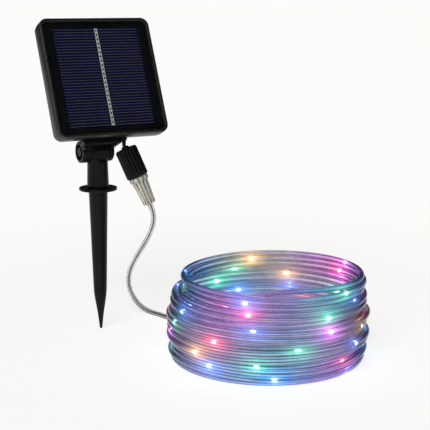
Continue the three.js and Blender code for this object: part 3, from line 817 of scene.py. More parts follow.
def make_wires():
    """The two wires that run through the tube, side by side, swaying a little as they go."""
    _, side, up = frames(LINE)
    twist = SWAY * np.sin(np.arange(len(LINE)) * TUBE_STEP / SWAY_LENGTH)
    wires = []
    for k in range(2):
        phase = twist + math.pi * k
        offset = WIRE_OFFSET * (np.cos(phase)[:, None] * side + np.sin(phase)[:, None] * up)
        wire = tube_mesh(f"tube_wire_{k + 1}", (LINE + offset)[2:-2], WIRE_R, 6)
        smooth(wire, 80)
        give(wire, wire_material())
        follow_swivel(wire)
        wires.append(wire)
    return wires


def make_lamps():
    """The lamps' capsules, one piece for each colour."""
    pieces = []
    capsule = Matrix.Diagonal((1.3 * MM, 1.1 * MM, 2.4 * MM, 1))
    for name in LAMP_COLOURS:
        points, faces = [], []
        for lamp_name, place, along in LAMPS:
            if lamp_name != name:
                continue
            bm = bmesh.new()
            bmesh.ops.create_uvsphere(bm, u_segments=16, v_segments=10, radius=1)
            turn = Vector(along).to_track_quat("Z", "Y").to_matrix().to_4x4()
            bmesh.ops.transform(bm, matrix=Matrix.Translation(place) @ turn @ capsule, verts=bm.verts)
            base = len(points)
            points += [v.co.copy() for v in bm.verts]
            faces += [tuple(base + v.index for v in f.verts) for f in bm.faces]
            bm.free()
        piece = smooth(new_object(f"lamps_{name}", points, faces), 80)
        give(piece, lamp_material(name))
        follow_swivel(piece)
        pieces.append(piece)
    return pieces


def make_end_cap():
    """The clear cap on the tube's far end."""
    low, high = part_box("tube_end_cap")
    middle = (low + high) / 2
    along = Vector(LINE[-1] - LINE[-2]).normalized()
    back = (middle - Vector(LINE[-1])).dot(along)   # from the cap's middle back to the tube's end
    half = 6.0
    mouth = min(half, back / MM)
    place = Matrix.Translation(middle) @ along.to_track_quat("Z", "Y").to_matrix().to_4x4()
    profile = [
        (0, -mouth), (2.55, -mouth), *arc((3.1, -half + 0.3), 0.3, -90, 0, 4),
        *arc((2.5, half - 0.9), 0.8, 0, 90, 6), (0.9, half), (0.9, half - 1.2), (0, half - 1.2),
    ]
    cap = smooth(turned("end_cap", profile, place, 48))
    return finished(cap, "end_cap", cap_material(), "cap_clear", "stake", "tube_end_cap")


TUBE = make_tube()
WIRES = make_wires()
LAMP_PIECES = make_lamps()
END_CAP = make_end_cap()

# ---- Materials of the panel, the stake and the connector ----

BLACK = plastic("black_plastic", (0.004, 0.0046, 0.0045), (0.26, 0.36), 0.13)
BEZEL_BLACK = plastic("bezel_plastic", (0.014, 0.0144, 0.0122), (0.25, 0.36), 0.45)
NUT_BLACK = plastic("nut_plastic", (0.003, 0.0033, 0.0033), (0.28, 0.38), 0.16)
RUBBER = rubber("black_rubber", (0.009, 0.009, 0.0095))
BUTTON_RUBBER = rubber("button_rubber", (0.035, 0.038, 0.04))
RED_SEAL = rubber("red_seal", (0.3, 0.03, 0.02), (0.3, 0.45))
ZINC = metal("zinc_steel", (0.55, 0.56, 0.56))
DARK_STEEL = metal("blackened_steel", (0.014, 0.014, 0.015), (0.35, 0.5))
NICKEL = metal("nickel_contact", (0.7, 0.7, 0.66), (0.18, 0.3))
BRASS = metal("brass_pin", (0.78, 0.56, 0.22), (0.16, 0.28))


def glass_material():
    """Toughened glass over the cell: clear, with a faint film of dust and soft reflections."""
    s = Surface("panel_glass").set(IOR=1.5, Specular_IOR_Level=0.35)
    film = s.noise(60, 4.0)
    s.color(s.ramp(film, (0.012, 0.014, 0.02), (0.03, 0.034, 0.04)))
    s.rough(s.span(film, 0.05, 0.11))
    s.link(s.span(film, 0.05, 0.075), s.shader.inputs["Alpha"])
    return s.material


def cell_material():
    """Dark blue silicon whose crystals differ slightly in tone."""
    s = Surface("silicon_cell").set(Specular_IOR_Level=0.15)
    grains = s.add("ShaderNodeTexVoronoi", Scale=130.0, Randomness=1.0)
    s.link(s.object_coords, grains.inputs["Vector"])
    tone = s.add("ShaderNodeSeparateColor")
    s.link(grains.outputs["Color"], tone.inputs["Color"])
    s.color(s.ramp(tone.outputs["Red"], (0.0005, 0.0005, 0.024), (0.0015, 0.0018, 0.055), (0.0, 1.0)))
    s.rough(s.span(s.noise(200, 3.0), 0.3, 0.42))
    return s.material


def finger_material():
    """Screen-printed silver, dulled by the cell's blue coating."""
    s = Surface("cell_fingers").set(Specular_IOR_Level=0.3)
    s.mottle(700, 3.0, (0.055, 0.06, 0.082), (0.085, 0.093, 0.12), (0.5, 0.65))
    return s.material


GAPS_PER_METRE = 240.0


def busbar_material():
    """Tinned ribbon with a row of dark solder gaps along its middle."""
    s = Surface("silver_busbar").set(Metallic=0.15)
    split = s.add("ShaderNodeSeparateXYZ")
    s.link(s.frame_coords(HEAD), split.inputs["Vector"])
    cycle = s.math("FRACT", s.math("MULTIPLY", split.outputs["Z"], GAPS_PER_METRE))
    dash = s.span(cycle, 0.0, 1.0, (0.52, 0.6))
    distance = s.math("ABSOLUTE", s.math("SUBTRACT", split.outputs["X"], CELL_X * MM))
    inside = s.span(distance, 1.0, 0.0, (0.65 * MM, 0.95 * MM))
    solder = s.noise(900, 3.0)
    ribbon = s.ramp(solder, (0.72, 0.71, 0.69), (0.97, 0.96, 0.93))
    s.color(s.blend(s.math("MULTIPLY", dash, inside), ribbon, (0.01, 0.01, 0.02)))
    s.rough(s.span(solder, 0.3, 0.5))
    s.bump(solder, 0.2, 0.05 * MM)
    return s.material


def sheet_material():
    """Black laminate behind the cell."""
    s = Surface("black_backsheet").set(Specular_IOR_Level=0.3)
    s.mottle(1200, 2.0, (0.0012, 0.0016, 0.0018), (0.0022, 0.0028, 0.003), (0.35, 0.5))
    return s.material


def board_material():
    """Green solder mask over copper tracks."""
    s = Surface("green_board")
    tracks = s.add(
        "ShaderNodeTexBrick", Scale=160.0, Mortar_Size=0.03,
        Color1=(0.01, 0.11, 0.04, 1), Color2=(0.015, 0.14, 0.05, 1), Mortar=(0.03, 0.25, 0.1, 1),
    )
    s.link(s.object_coords, tracks.inputs["Vector"])
    s.color(tracks.outputs["Color"])
    s.rough(s.span(s.noise(400, 3.0), 0.3, 0.45))
    s.bump(tracks.outputs["Fac"], 0.2, 0.04 * MM)
    return s.material


def battery_material():
    """Green shrink sleeve with fine creases."""
    s = Surface("battery_wrap")
    creases = s.mottle(300, 3.0, (0.015, 0.2, 0.07), (0.03, 0.32, 0.12), (0.22, 0.36))
    s.bump(creases, 0.15, 0.06 * MM)
    return s.material


def chip_material():
    """Moulded package with a fine matt grain."""
    s = Surface("chip_black")
    grain = s.mottle(2500, 2.0, (0.008, 0.008, 0.008), (0.02, 0.02, 0.02), (0.45, 0.6))
    s.bump(grain, 0.2, 0.02 * MM)
    return s.material


def socket_material():
    """Clear moulding, slightly yellowed, with painted shade that darkens it in the grooves between its ribs.
    """
    s = Surface("clear_socket").set(Transmission_Weight=0.3, IOR=1.45, Specular_IOR_Level=0.8)
    place = s.frame_coords(CONNECTOR)
    split = s.add("ShaderNodeSeparateXYZ")
    s.link(place, split.inputs["Vector"])
    bearing = s.math("ARCTAN2", split.outputs["Y"], split.outputs["X"])
    ribs = s.math("COSINE", s.math("MULTIPLY", bearing, SOCKET_RIBS))
    flow = s.noise(420, 4.0, coords=place, stretch=(1, 1, 0.15))
    # painted shade: the colour darkens in the grooves between the ribs, on top of the flow marks' tone
    flow_and_groove_shade = s.math("ADD", s.math("MULTIPLY", ribs, -0.16), flow)
    s.color(s.ramp(flow_and_groove_shade, (0.4, 0.36, 0.25), (1.0, 0.98, 0.9), (0.4, 0.58)))
    s.rough(s.span(flow, 0.25, 0.1))
    s.bump(flow, 0.3, 0.12 * MM)
    return s.material


# ---- Stake and neck ----

HINGE_Z = TILT_AXIS_Z / MM
PANEL_X, PANEL_Z = 8.5, 62.5          # the panel's middle in the head's frame
PANEL_W, PANEL_H = 109, 112
CELL_X, CELL_Z = PANEL_X + 1, PANEL_Z + 0.5   # the cell's middle
CELL_W, CELL_H = 84.5, 94
SCREW_X, SCREW_Z = 48, 49.5           # of the housing screws, from the panel's middle
BRACKET_SCREW_X, BRACKET_SCREW_Y = 14.2, -15.0
SCREW_HEAD = 1.8                      # height of a pan head
SEAT_Y = -13.2                        # of the housing screws, at the bottom of their wells
FLOOR_PAD_TOP = 12                    # of the pad inside the housing's lower wall
HOUSING_SCREW_TIP, BRACKET_SCREW_TIP = -20.5, 3
CLEARANCE = 0.3
PILOT_R = 1.4                         # radius of the holes that the screws cut their threads in
BUTTON_X, BUTTON_Z = 12, 44           # the buttons' places, x from the panel's middle
BATTERY_Y, BATTERY_Z = -14.05, 96
GROMMET_X, GROMMET_Y = 22, -13.3      # where the panel's lead leaves the housing
BOLT_HOLE_R = 2.7
SPIGOT_TOP = 154
CORNERS = ((-1, -1), (1, -1), (1, 1), (-1, 1))


def make_stake():
    """The ground stake: a slender spike under a round flange, and the spigot that the neck turns on."""
    profile = [
        (0, 0), (0.7, 0.05), (1.1, 0.4), (1.28, 1.4), (1.7, 5), (2.3, 10.5), (3.05, 16), (3.9, 21.4),
        (4.65, 26), (5.2, 29.4), (5.65, 32.6), (6.02, 36), (6.27, 42), (8.72, 131.0),
        *arc((10.3, 131.7), 1.5, 180, 90, 6), (16.6, 133.2), *arc((16.9, 133.9), 0.7, -90, 0, 6),
        *arc((16.9, 135.2), 0.7, 0, 90, 6), (7.7, 135.9), (7.7, SPIGOT_TOP - 1),
        (6.7, SPIGOT_TOP), (0, SPIGOT_TOP),
    ]
    stake = smooth(turned("stake", profile, sides=120), 30)
    keep_in_node(stake, "ground_stake", Matrix.Identity(4))
    finished(stake, "stake", BLACK, "black_plastic", "stake", "ground_stake")


def keep_in_node(obj, node, place=HEAD):
    """Keeps a piece's points within its CAD node's box, taken in the frame at place."""
    to_local = place.inverted()
    low, high = local_box(node, to_local)
    for vertex in obj.data.vertices:
        local = to_local @ vertex.co
        vertex.co = place @ Vector([min(max(local[k], low[k]), high[k]) for k in range(3)])


def make_neck():
    """The neck's sleeve, which turns on the spigot, and the round knuckle of the tilt hinge."""
    sleeve = turned("neck", [
        (8.0, 136.2), (9.3, 136.2), *arc((9.4, 136.9), 0.7, -90, 0, 5), (9.5, 158.8), (8.0, 158.8),
    ], sides=120)
    cap = turned("cap", [(0, 154.8), (9.5, 154.8), (9.48, 159.4), (7.6, 163.5), (0, 163.5)], sides=120)
    axis = Matrix.Translation((0, 0, TILT_AXIS_Z)) @ Z_TO_X
    knuckle = turned("knuckle", [
        (0, -8.7), *arc((9.2, -7.9), 0.8, -90, 0, 5), *arc((9.2, 7.9), 0.8, 0, 90, 5), (0, 8.7),
    ], axis, 120)
    web = block(-8.6, 8.6, -7.4, 7.4, 156, HINGE_Z - 2, Matrix.Identity(4), 0.8)
    web = boolean(web, [turned("limit", rod(9.5, 150, 170), sides=120)], "INTERSECT")
    hole = turned("hole", rod(BOLT_HOLE_R, -12, 12), axis, 48)
    bore = turned("bore", rod(8.0, 130, SPIGOT_TOP + 1), sides=96)
    neck = boolean(sleeve, [cap, web, knuckle], "UNION")
    neck = boolean(neck, [bore, hole], "DIFFERENCE")
    moulded(neck, 0.35, 5)
    keep_in_node(neck, "neck_post", Matrix.Identity(4))
    finished(neck, "neck", BLACK, "black_plastic", "neck", "neck_post")


# ---- Tilt bracket and its fasteners, in the head's frame ----


def make_bracket():
    """The bracket under the panel: a bar, an ear on each side of the knuckle and a brace to the right."""
    bar = block(-20, 17.5, -20, -8.6, 1.2, 6.2, edge=1.2)
    brace_side = [
        (9, 6.2), (9, -1), (12, -1), (12.7, 0.35), (13.9, 1.4), (15.5, 2.15), (17.5, 2.6), (17.5, 6.2),
    ]
    brace = prism(brace_side, -18, -9.6)
    left = along_x(10, -18, -9, edge=0.9)
    left_web = block(-17.9, -9, -14, -2, -1, 6.2, edge=0.8)
    right = along_x(10, 9, 13, edge=0.9)
    right_web = block(9, 12.9, -14, -2, -1, 6.2, edge=0.5)
    bracket = boolean(bar, [brace, left, left_web, right, right_web], "UNION")
    cutters = [along_x(10.5, -9, 9), along_x(7.2, -19, -13.4), along_x(BOLT_HOLE_R, -20, 20, sides=48)]
    cutters.append(along_x(4.7, 10.6, 14, sides=6))
    for x in (-BRACKET_SCREW_X, BRACKET_SCREW_X):
        cutters.append(along_z(rod(PILOT_R, 2.6, 8), x, BRACKET_SCREW_Y, 24))
    bracket = boolean(bracket, cutters, "DIFFERENCE")
    moulded(bracket, 0.3, 4)
    keep_in_node(bracket, "tilt_bracket")
    finished(bracket, "bracket", BLACK, "black_plastic", "head", "tilt_bracket")


def prism(outline, y0, y1):
    """An outline in the head's x and z, pushed from y0 to y1, millimetres."""
    points = [(x * MM, y * MM, z * MM) for y in (y0, y1) for x, z in outline]
    return outward(new_object("prism", points, capped(2, len(outline)), HEAD))


def outward(obj):
    """Turns the faces of a closed mesh outwards."""
    bm = bmesh.new()
    bm.from_mesh(obj.data)
    bmesh.ops.recalc_face_normals(bm, faces=bm.faces[:])
    bm.to_mesh(obj.data)
    bm.free()
    return obj


def hexagon(radius, x0, x1, bevel=0.5):
    """A hexagonal head or nut across the tilt axis, with chamfered corners."""
    turn = HEAD @ Z_TO_X
    body = turned("hexagon", rod(radius, x0, x1), turn, 6)
    cone = turned("cone", [
        (0, x0), (radius - bevel, x0), (radius, x0 + bevel),
        (radius, x1 - bevel), (radius - bevel, x1), (0, x1),
    ], turn, 64)
    return boolean(body, [cone], "INTERSECT")


def make_hinge_fasteners():
    """The bolt through the knuckle, the washer under its head at the left, and its nut at the right."""
    bolt = hexagon(4.6, -18, -14.8)
    shank = along_x(2.4, -15.2, 13.9, edge=0.4, sides=48)
    bolt = smooth(boolean(bolt, [shank], "UNION"), 25)
    ring = [
        (BOLT_HOLE_R, -14.5), (4.7, -14.5), (4.9, -14.3), (4.9, -13.9), (4.7, -13.7), (BOLT_HOLE_R, -13.7),
    ]
    washer = smooth(turned("washer", ring, HEAD @ Z_TO_X, 64), 30)
    nut = hexagon(4.3, 10.9, 13.5, 0.4)
    nut = smooth(boolean(nut, [along_x(BOLT_HOLE_R, 10, 15, sides=48)], "DIFFERENCE"), 25)
    for obj, node in ((bolt, "hinge_bolt"), (washer, "hinge_washer"), (nut, "hinge_nut")):
        finished(obj, f"{node}_fine", DARK_STEEL, "blackened_steel", "head", node)


def cross_recess(obj, to_row, depth):
    """Cuts a cross recess into a screw's head; to_row takes z = 0 at the head's top to the row frame."""
    arms = [block(-x, x, -y, y, -depth, 0.5, to_row) for x, y in ((1.1, 0.28), (0.28, 1.1))]
    return boolean(obj, arms, "DIFFERENCE")


def pan_head(radius, height):
    """Half section of a pan head, from its seat at z = -height to its top at z = 0."""
    crown = 0.7
    shoulder = [(radius * 0.93, -crown * 0.45), (radius * 0.75, -crown * 0.12)]
    return [(radius, -height), (radius, -crown), *shoulder, (0, 0)]


def make_screws():
    """The four screws in the housing's corners and the two that hold the bracket."""
    top = SEAT_Y + CLEARANCE + SCREW_HEAD
    for k, (sx, sz) in enumerate(CORNERS):
        place = Vector((PANEL_X + sx * SCREW_X, top, PANEL_Z + sz * SCREW_Z)) * MM
        to_row = HEAD @ Matrix.Translation(place) @ Z_TO_Y
        make_screw(f"housing_screw_{k + 1}", to_row, HOUSING_SCREW_TIP - top)
    top = FLOOR_PAD_TOP + CLEARANCE + SCREW_HEAD
    for k, x in enumerate((-BRACKET_SCREW_X, BRACKET_SCREW_X)):
        to_row = HEAD @ Matrix.Translation(Vector((x, BRACKET_SCREW_Y, top)) * MM)
        make_screw(f"bracket_screw_{k + 1}", to_row, BRACKET_SCREW_TIP - top)


THREADS_PER_MM = 1.1
THREAD_START = -2.2                   # below the top of the head


def make_screw(node, to_row, tip):
    """A pan-head screw whose head's top is at z = 0 and whose tip is at z = tip, millimetres."""
    def thread(radius, z, angle):
        if radius > 1.15 or z > THREAD_START:
            return radius
        return radius - 0.12 * abs(((z * THREADS_PER_MM + angle / TAU) % 1.0) * 2 - 1)

    levels = np.linspace(THREAD_START, tip + 0.8, 40)
    profile = [(0, tip), (0.25, tip + 0.05), *[(1.1, z) for z in levels[::-1]], *pan_head(2.4, SCREW_HEAD)]
    screw = turned("screw", profile, to_row, 32, thread)
    screw = smooth(cross_recess(screw, to_row, 1.0), 40)
    finished(screw, f"{node}_fine", ZINC, "zinc_steel", "head", node)


# ---- Panel housing, in the head's frame ----

GLASS_FRONT, GLASS_BACK = -26.5, -24.5
CELL_FRONT = -23.6
SHELL_FRONT = -17.2
BACK_Y = -10.5


def rounded_outline(w, h, r, corner_steps=12):
    """Points of a rounded rectangle round the panel's middle, as (x, z)."""
    outline = []
    for sx, sz, start in ((1, -1, -90), (1, 1, 0), (-1, 1, 90), (-1, -1, 180)):
        centre = (PANEL_X + sx * (w / 2 - r), PANEL_Z + sz * (h / 2 - r))
        outline += arc(centre, r, start, start + 90, corner_steps)
    return outline


def lofted(name, levels, closed_ring=False):
    """A body whose rounded-rectangle outline changes from level to level; levels are (y, w, h, r)."""
    points = []
    for y, w, h, r in levels:
        points += [(x * MM, y * MM, z * MM) for x, z in rounded_outline(w, h, r)]
    count = len(points) // len(levels)
    faces = ring_faces(len(levels), count, True) if closed_ring else capped(len(levels), count)
    return outward(new_object(name, points, faces, HEAD))


def inset_level(y, inset, corner=8.0):
    """A level of the housing's outline, moved inwards by inset."""
    return (y, PANEL_W - 2 * inset, PANEL_H - 2 * inset, max(corner - inset, 0.6))


def make_bezel():
    """The front frame, with a rounded outer edge, a narrow lip over the glass and blocks for the screws."""
    section = [
        (0.0, -17.5), (0.0, -26.9), *[(1.1 - y, -26.9 - x) for x, y in arc((0, 0), 1.1, 0, 90, 6)][1:],
        (2.3, -28.0), (2.62, -27.92), (2.86, -27.72), (3.0, -27.4), (3.0, -26.8), (2.0, -26.8), (2.0, -17.5),
    ]
    bezel = lofted("bezel", [inset_level(y, inset) for inset, y in section], closed_ring=True)
    blocks, pilots = [], []
    for sx, sz in CORNERS:
        x_range = sorted((PANEL_X + sx * 52.6, PANEL_X + sx * 44.5))
        z_range = sorted((PANEL_Z + sz * 54.1, PANEL_Z + sz * 46.0))
        blocks.append(block(*x_range, -21.4, -17.5, *z_range))
        screw_place = (PANEL_X + sx * SCREW_X, PANEL_Z + sz * SCREW_Z)
        pilots.append(along_y(rod(PILOT_R, -20.9, -15), *screw_place, 24))
    corner_limit = lofted("limit", [inset_level(-22, 0.5), inset_level(-17, 0.5)])
    posts = boolean(blocks[0], blocks[1:], "UNION")
    posts = boolean(posts, [corner_limit], "INTERSECT")
    bezel = boolean(bezel, [posts], "UNION")
    bezel = smooth(boolean(bezel, pilots, "DIFFERENCE"), 40)
    finished(bezel, "bezel", BEZEL_BLACK, "black_plastic", "head", "front_bezel")


def make_glass():
    """The glass, with a fine bevel on its edges."""
    edge, inset = 0.35, 2.3
    levels = ((GLASS_FRONT, inset + edge), (GLASS_FRONT + edge, inset), (GLASS_BACK - edge, inset),
              (GLASS_BACK, inset + edge))
    glass = smooth(lofted("glass", [inset_level(y, inwards, 7.7) for y, inwards in levels]), 30)
    finished(glass, "glass", glass_material(), "panel_glass", "head", "solar_glass")


def make_cell():
    """The cell, its ribbon and the black sheet behind it."""
    half_w, half_h = CELL_W / 2, CELL_H / 2
    cell = block(CELL_X - half_w, CELL_X + half_w, CELL_FRONT, CELL_FRONT + 0.4,
                 CELL_Z - half_h, CELL_Z + half_h, edge=0.1)
    finished(cell, "cell", cell_material(), "silicon_cell", "head", "solar_cell")
    make_fingers()
    ribbon = block(CELL_X - 1.5, CELL_X + 1.5, -24.2, -23.9, CELL_Z - 46.5, CELL_Z + 46.5, edge=0.12)
    finished(ribbon, "busbar", busbar_material(), "silver_busbar", "head", "cell_busbar")
    sheet = smooth(lofted("sheet", [inset_level(-22.9, 2.4, 7.8), inset_level(-21.7, 2.4, 7.8)]), 30)
    finished(sheet, "sheet", sheet_material(), "black_backsheet", "head", "cell_backsheet")


FINGERS = 35
FINGER_W = 0.85


def make_fingers():
    """The fine lines printed across the cell, as flat bars that stand out of it by a few hundredths."""
    points, faces = [], []
    half = CELL_W / 2 - 0.55
    for k in range(FINGERS):
        z = CELL_Z - CELL_H / 2 + CELL_H / FINGERS * (k + 0.5)
        base = len(points)
        for y in (CELL_FRONT - 0.04, CELL_FRONT + 0.02):
            for x, dz in ((-half, -1), (half, -1), (half, 1), (-half, 1)):
                points.append(((CELL_X + x) * MM, y * MM, (z + dz * FINGER_W / 2) * MM))
        faces += [tuple(base + i for i in side) for side in (
            (0, 1, 2, 3), (7, 6, 5, 4), (0, 4, 5, 1), (1, 5, 6, 2), (2, 6, 7, 3), (3, 7, 4, 0),
        )]
    fingers = outward(new_object("cell_fingers", points, faces, HEAD))
    finished(fingers, "cell_fingers", finger_material(), "silver_busbar", "head")


def make_rear_shell():
    """The rear shell: a shallow tray with a rounded shoulder, the battery's bulge and the screws' wells."""
    shell = lofted("rear_shell", [inset_level(y, inset) for y, inset in (
        (SHELL_FRONT, 0.3), (-13.6, 0.5), (-12.4, 0.8), (-11.6, 1.3), (-10.9, 2.0), (BACK_Y, 3.0),
    )])
    inside = lofted("inside", [inset_level(-19, 2.1), inset_level(-13.8, 2.6), inset_level(-12.5, 3.4)])
    bulge = along_x(9.6, PANEL_X - 31.4, PANEL_X + 31.4, BATTERY_Y, BATTERY_Z, edge=2.4)
    bulge = boolean(bulge, [block(-60, 90, -12.5, 5, 0, 130)], "INTERSECT")
    shell = boolean(shell, [bulge], "UNION")
    room = along_x(7.6, PANEL_X - 29.45, PANEL_X + 29.45, BATTERY_Y, BATTERY_Z)
    shell = boolean(shell, [inside, room], "DIFFERENCE")
    pads = [block(-20, 26, -17.2, -9.9, 6.5, 8.5), block(-20, 26, -16.1, -9.9, 6.5, FLOOR_PAD_TOP)]
    cutters = []
    well = [(0, SEAT_Y), (2.7, SEAT_Y), (2.7, -11.2), (4.4, -9.5), (0, -9.5)]
    for sx in (-1, 1):
        for sz in (-1, 1):
            x, z = PANEL_X + sx * SCREW_X, PANEL_Z + sz * SCREW_Z
            pads.append(along_y(rod(3.4, -15.1, -12), x, z, 32))
            cutters.append(along_y(rod(PILOT_R, -20, 0), x, z, 24))
            cutters.append(along_y(well, x, z, 32))
    button_well = [(0, -16), (4.8, -16), (4.8, -11.1), (6.2, -9.6), (0, -9.6)]
    for side in (-1, 1):
        cutters.append(along_y(button_well, PANEL_X + side * BUTTON_X, BUTTON_Z, 48))
        cutters.append(along_z(rod(PILOT_R, 5, 13), side * BRACKET_SCREW_X, BRACKET_SCREW_Y, 24))
    cutters.append(along_z(rod(2.75, 5, 13), GROMMET_X, GROMMET_Y, 32))
    shell = boolean(shell, pads, "UNION")
    shell = boolean(shell, cutters, "DIFFERENCE")
    moulded(shell, 0.45, 3)
    keep_in_node(shell, "rear_shell")
    finished(shell, "rear_shell_fine", BEZEL_BLACK, "black_plastic", "head", "rear_shell")


def make_buttons():
    """The two push buttons in the back, each with a dished top."""
    profile = [
        (0, -14.2), (5.5, -14.2), (5.5, -13.0), (4.5, -12.9), (4.5, -10.0), *arc((3.9, -9.9), 0.6, 0, 90, 5),
        (3.1, -9.35), (2.4, -9.6), (1.2, -9.8), (0, -9.85),
    ]
    for side, node in ((-1, "power_button"), (1, "mode_button")):
        button = smooth(along_y(profile, PANEL_X + side * BUTTON_X, BUTTON_Z, 64), 30)
        keep_in_node(button, node)
        finished(button, f"{node}_fine", BUTTON_RUBBER, "button_rubber", node, node)


# ---- Panel lead and connector ----

SOCKET_RIBS = 12
LEAD_R = 1.8
LEAD_STEP = 0.8 * MM


def make_grommet():
    """The rubber grommet in the housing's lower wall, with a rounded flange and two relief rings."""
    profile = [
        (2.1, 4.6), (2.9, 4.6), *arc((2.85, 4.95), 0.35, -90, 0, 4), (3.2, 5.5),
        *arc((2.85, 5.85), 0.35, 0, 90, 4), (2.45, 6.3), (2.45, 10.8), (2.3, 11), (2.1, 11),
    ]
    grommet = smooth(along_z(profile, GROMMET_X, GROMMET_Y, 48), 30)
    finished(grommet, "grommet", RUBBER, "black_rubber", "head", "lead_grommet")


def make_panel_lead():
    """The black lead from the back of the board through the grommet to the plug."""
    in_head = [
        (-17.5, 33), (-17.5, 26), (-16.4, 19), (GROMMET_Y - 1.2, 13.5),
        (GROMMET_Y - 0.2, 11), (GROMMET_Y, 8.5), (GROMMET_Y, 3.4),
    ]
    points = [HEAD @ Vector((GROMMET_X * MM, y * MM, z * MM)) for y, z in in_head]
    points += [CONNECTOR @ Vector((0, 0, z * MM)) for z in (17.4, 16.3)]
    line = even(through([tuple(p) for p in points], LEAD_STEP), LEAD_STEP)
    lead = smooth(tube_mesh("lead", line, LEAD_R * MM, 24), 60)
    give(lead, RUBBER)
    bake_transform(lead)
    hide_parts("panel_lead")


def make_nut():
    """The coupling nut with its rounded grip ribs."""
    ribs, groove = 18, 0.95

    def grip(radius, _, angle):
        if radius < 9.0:
            return radius
        wave = 0.5 + 0.5 * math.cos(ribs * angle)
        return radius - groove * (1 - wave ** 0.6)

    profile = [
        (8.4, -14), (9.2, -14), (9.9, -13.7), (10.3, -13.0), (10.3, -9), (10.3, 0), (10.3, 9), (10.3, 12.6),
        (9.9, 13.5), (9.0, 14.0), (5.0, 14.0), (4.6, 13.6), (4.6, 10.0), (8.4, 10.0),
    ]
    nut = smooth(turned("nut", profile, CONNECTOR, 216, grip), 40)
    finished(nut, "nut", NUT_BLACK, "black_plastic", "coupling_nut", "coupling_nut")


def make_plug():
    """The lead's plug, its two pins and its seal; a ribbed sleeve stands out of the nut."""
    plug = turned("plug", [
        (0, 0), (6.0, 0), (6.2, 0.2), (6.2, 6.6), (8.0, 7.0), (8.0, 9.5), (7.8, 9.7), (4.2, 9.7),
        (4.15, 12.6), (3.8, 13.0), (4.0, 13.4), (3.75, 14.0), (3.9, 14.5), (3.5, 15.2), (3.6, 15.7),
        (3.3, 16), (0, 16),
    ], CONNECTOR, 72)
    finished(smooth(plug, 30), "plug", NUT_BLACK, "black_plastic", "neck", "lead_plug")
    pin_profile = [(0, -7), (0.4, -7), (0.9, -6.3), (0.9, -0.3), (0, -0.3)]
    for k, x in enumerate((-2.2, 2.2)):
        pin = smooth(turned("pin", pin_profile, CONNECTOR @ Matrix.Translation((x * MM, 0, 0)), 32), 30)
        finished(pin, f"pin_{k + 1}", BRASS, "brass_pin", "neck", f"contact_pin_{k + 1}")
    ring = [(6.2 + 1.0 * math.cos(a), -1.05 + 0.75 * math.sin(a)) for a in np.linspace(0, TAU, 17)[:-1]]
    seal = smooth(turned("seal_ring", ring, CONNECTOR, 72), 60)
    finished(seal, "seal_ring", RED_SEAL, "red_seal", "neck", "connector_seal")


def make_socket():
    """The clear socket: a collar with small teeth, and a taper with long ribs round the light tube."""
    def ribs(radius, z, angle):
        if z < -18.4 and radius > 4:
            return radius * (1 - 0.08 * (0.5 + 0.5 * math.cos(SOCKET_RIBS * angle)))
        if radius > 8.6 and -18.2 < z < -14.6:
            return radius * (1 - 0.05 * (0.5 + 0.5 * math.cos(2 * SOCKET_RIBS * angle)))
        return radius

    profile = [
        (2.8, -41.4), (5.5, -41.4), (5.95, -41.0), (6.05, -40.2), (6.5, -33.5), (7.0, -27), (7.4, -22.6),
        (7.75, -19.0), (7.8, -18.6), (8.6, -18.3), (8.95, -18.0), (9.0, -16.4), (8.95, -14.7), (8.7, -14.3),
        (7.6, -14.3), (7.6, -2.1), (4.2, -2.1), (4.2, -12), (3.6, -12.6), (2.8, -29.0),
    ]
    socket = smooth(turned("socket", profile, CONNECTOR, 144, ribs), 35)
    finished(socket, "socket", socket_material(), "clear_socket", "neck", "tube_socket")


make_stake()
make_neck()
make_bracket()
make_hinge_fasteners()
make_screws()
make_bezel()
make_glass()
make_cell()
make_rear_shell()
make_buttons()
make_grommet()
make_panel_lead()
make_nut()
make_plug()
make_socket()

for names, material in (
    (["housing_seal"], RUBBER),
    (["circuit_board"], board_material()),
    (["controller_chip", "power_switch", "mode_switch"], chip_material()),
    (["battery_cell"], battery_material()),
    (["battery_contact_plate", "battery_contact_spring"], NICKEL),
):
    for name in names:
        give(frame["nodes"][name], material)

# ---- Floor and light ----


BACKDROP = (0.982, 0.973, 0.957)
FLOOR_LIFT = 0.8                      # how much the floor glows by itself
FLOOR_FADE = (0.22, 0.75)             # from the middle, where the floor starts and ends to turn into backdrop


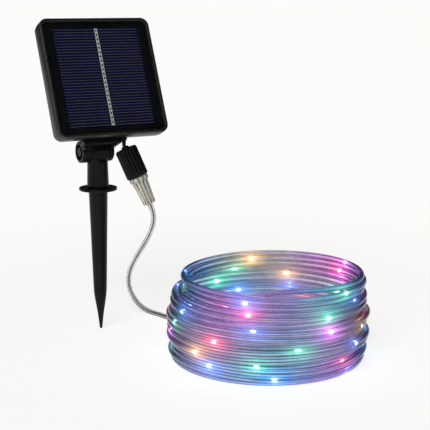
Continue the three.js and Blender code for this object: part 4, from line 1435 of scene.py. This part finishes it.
def make_floor():
    """A plain pale floor that runs into the backdrop without an edge."""
    bm = bmesh.new()
    bmesh.ops.create_circle(bm, cap_ends=True, segments=96, radius=9)
    floor = object_from(bm, "floor")
    floor.location.z = -0.05 * MM
    s = Surface("floor")
    s.set(Roughness=0.7, Specular_IOR_Level=0.1, Emission_Strength=FLOOR_LIFT)
    s.color(s.ramp(s.noise(2, 2.0), (0.6, 0.595, 0.585), (0.61, 0.605, 0.595)))
    s.shader.inputs["Emission Color"].default_value = (*BACKDROP, 1)
    from_middle = s.add("ShaderNodeVectorMath", operation="DISTANCE")
    s.link(s.object_coords, from_middle.inputs[0])
    from_middle.inputs[1].default_value = (AIM.x, AIM.y, 0)
    far = s.patch(from_middle.outputs["Value"], *FLOOR_FADE)
    backdrop = s.add("ShaderNodeEmission", Color=(*BACKDROP, 1))
    s.mix_shaders(far, s.shader, backdrop, s.tree.nodes["Material Output"])
    floor.data.materials.append(s.material)


LIGHT_SIDES = (
    # direction, edges of its soft patch as cosines, strength
    ((0.0, 0.0, 1.0), (0.5, 0.9), 0.95),
    ((-0.864, 0.503, 0.1), (0.72, 0.97), 0.75),
    ((0.864, -0.503, 0.1), (0.8, 0.98), 0.5),
    ((0.503, 0.864, 0.25), (0.35, 0.9), 0.6),
)


def make_world():
    """A pale studio: soft patches of light overhead, at both sides and behind, and none in front."""
    world = bpy.data.worlds.new("studio")
    bpy.context.scene.world = world
    s = Nodes(world)
    lit = s.tree.nodes["Background"]
    seen = s.add("ShaderNodeBackground", Color=(*BACKDROP, 1))
    direction = s.add("ShaderNodeTexCoord").outputs["Generated"]
    total = s.add("ShaderNodeValue").outputs[0]
    total.default_value = 0.1
    for side, edges, strength in LIGHT_SIDES:
        dot = s.add("ShaderNodeVectorMath", operation="DOT_PRODUCT")
        dot.inputs[1].default_value = Vector(side).normalized()
        s.link(direction, dot.inputs[0])
        total = s.math("ADD", total, s.patch(dot.outputs["Value"], *edges, strength))
    s.link(total, lit.inputs["Strength"])
    to_camera = s.add("ShaderNodeLightPath").outputs["Is Camera Ray"]
    s.mix_shaders(to_camera, lit, seen, s.tree.nodes["World Output"])


def make_lights():
    """A wide weak sun from the upper left, for soft shadows that are the same all over the floor."""
    data = bpy.data.lights.new("sun", "SUN")
    data.energy = 1.1
    data.angle = math.radians(40)
    sun = in_scene("sun", data)
    sun.rotation_mode = "QUATERNION"
    sun.rotation_quaternion = Vector((0.55, 0.5, -0.65)).to_track_quat("-Z", "Y")


make_floor()
make_world()
make_lights()
bpy.context.scene.view_settings.view_transform = "Standard"
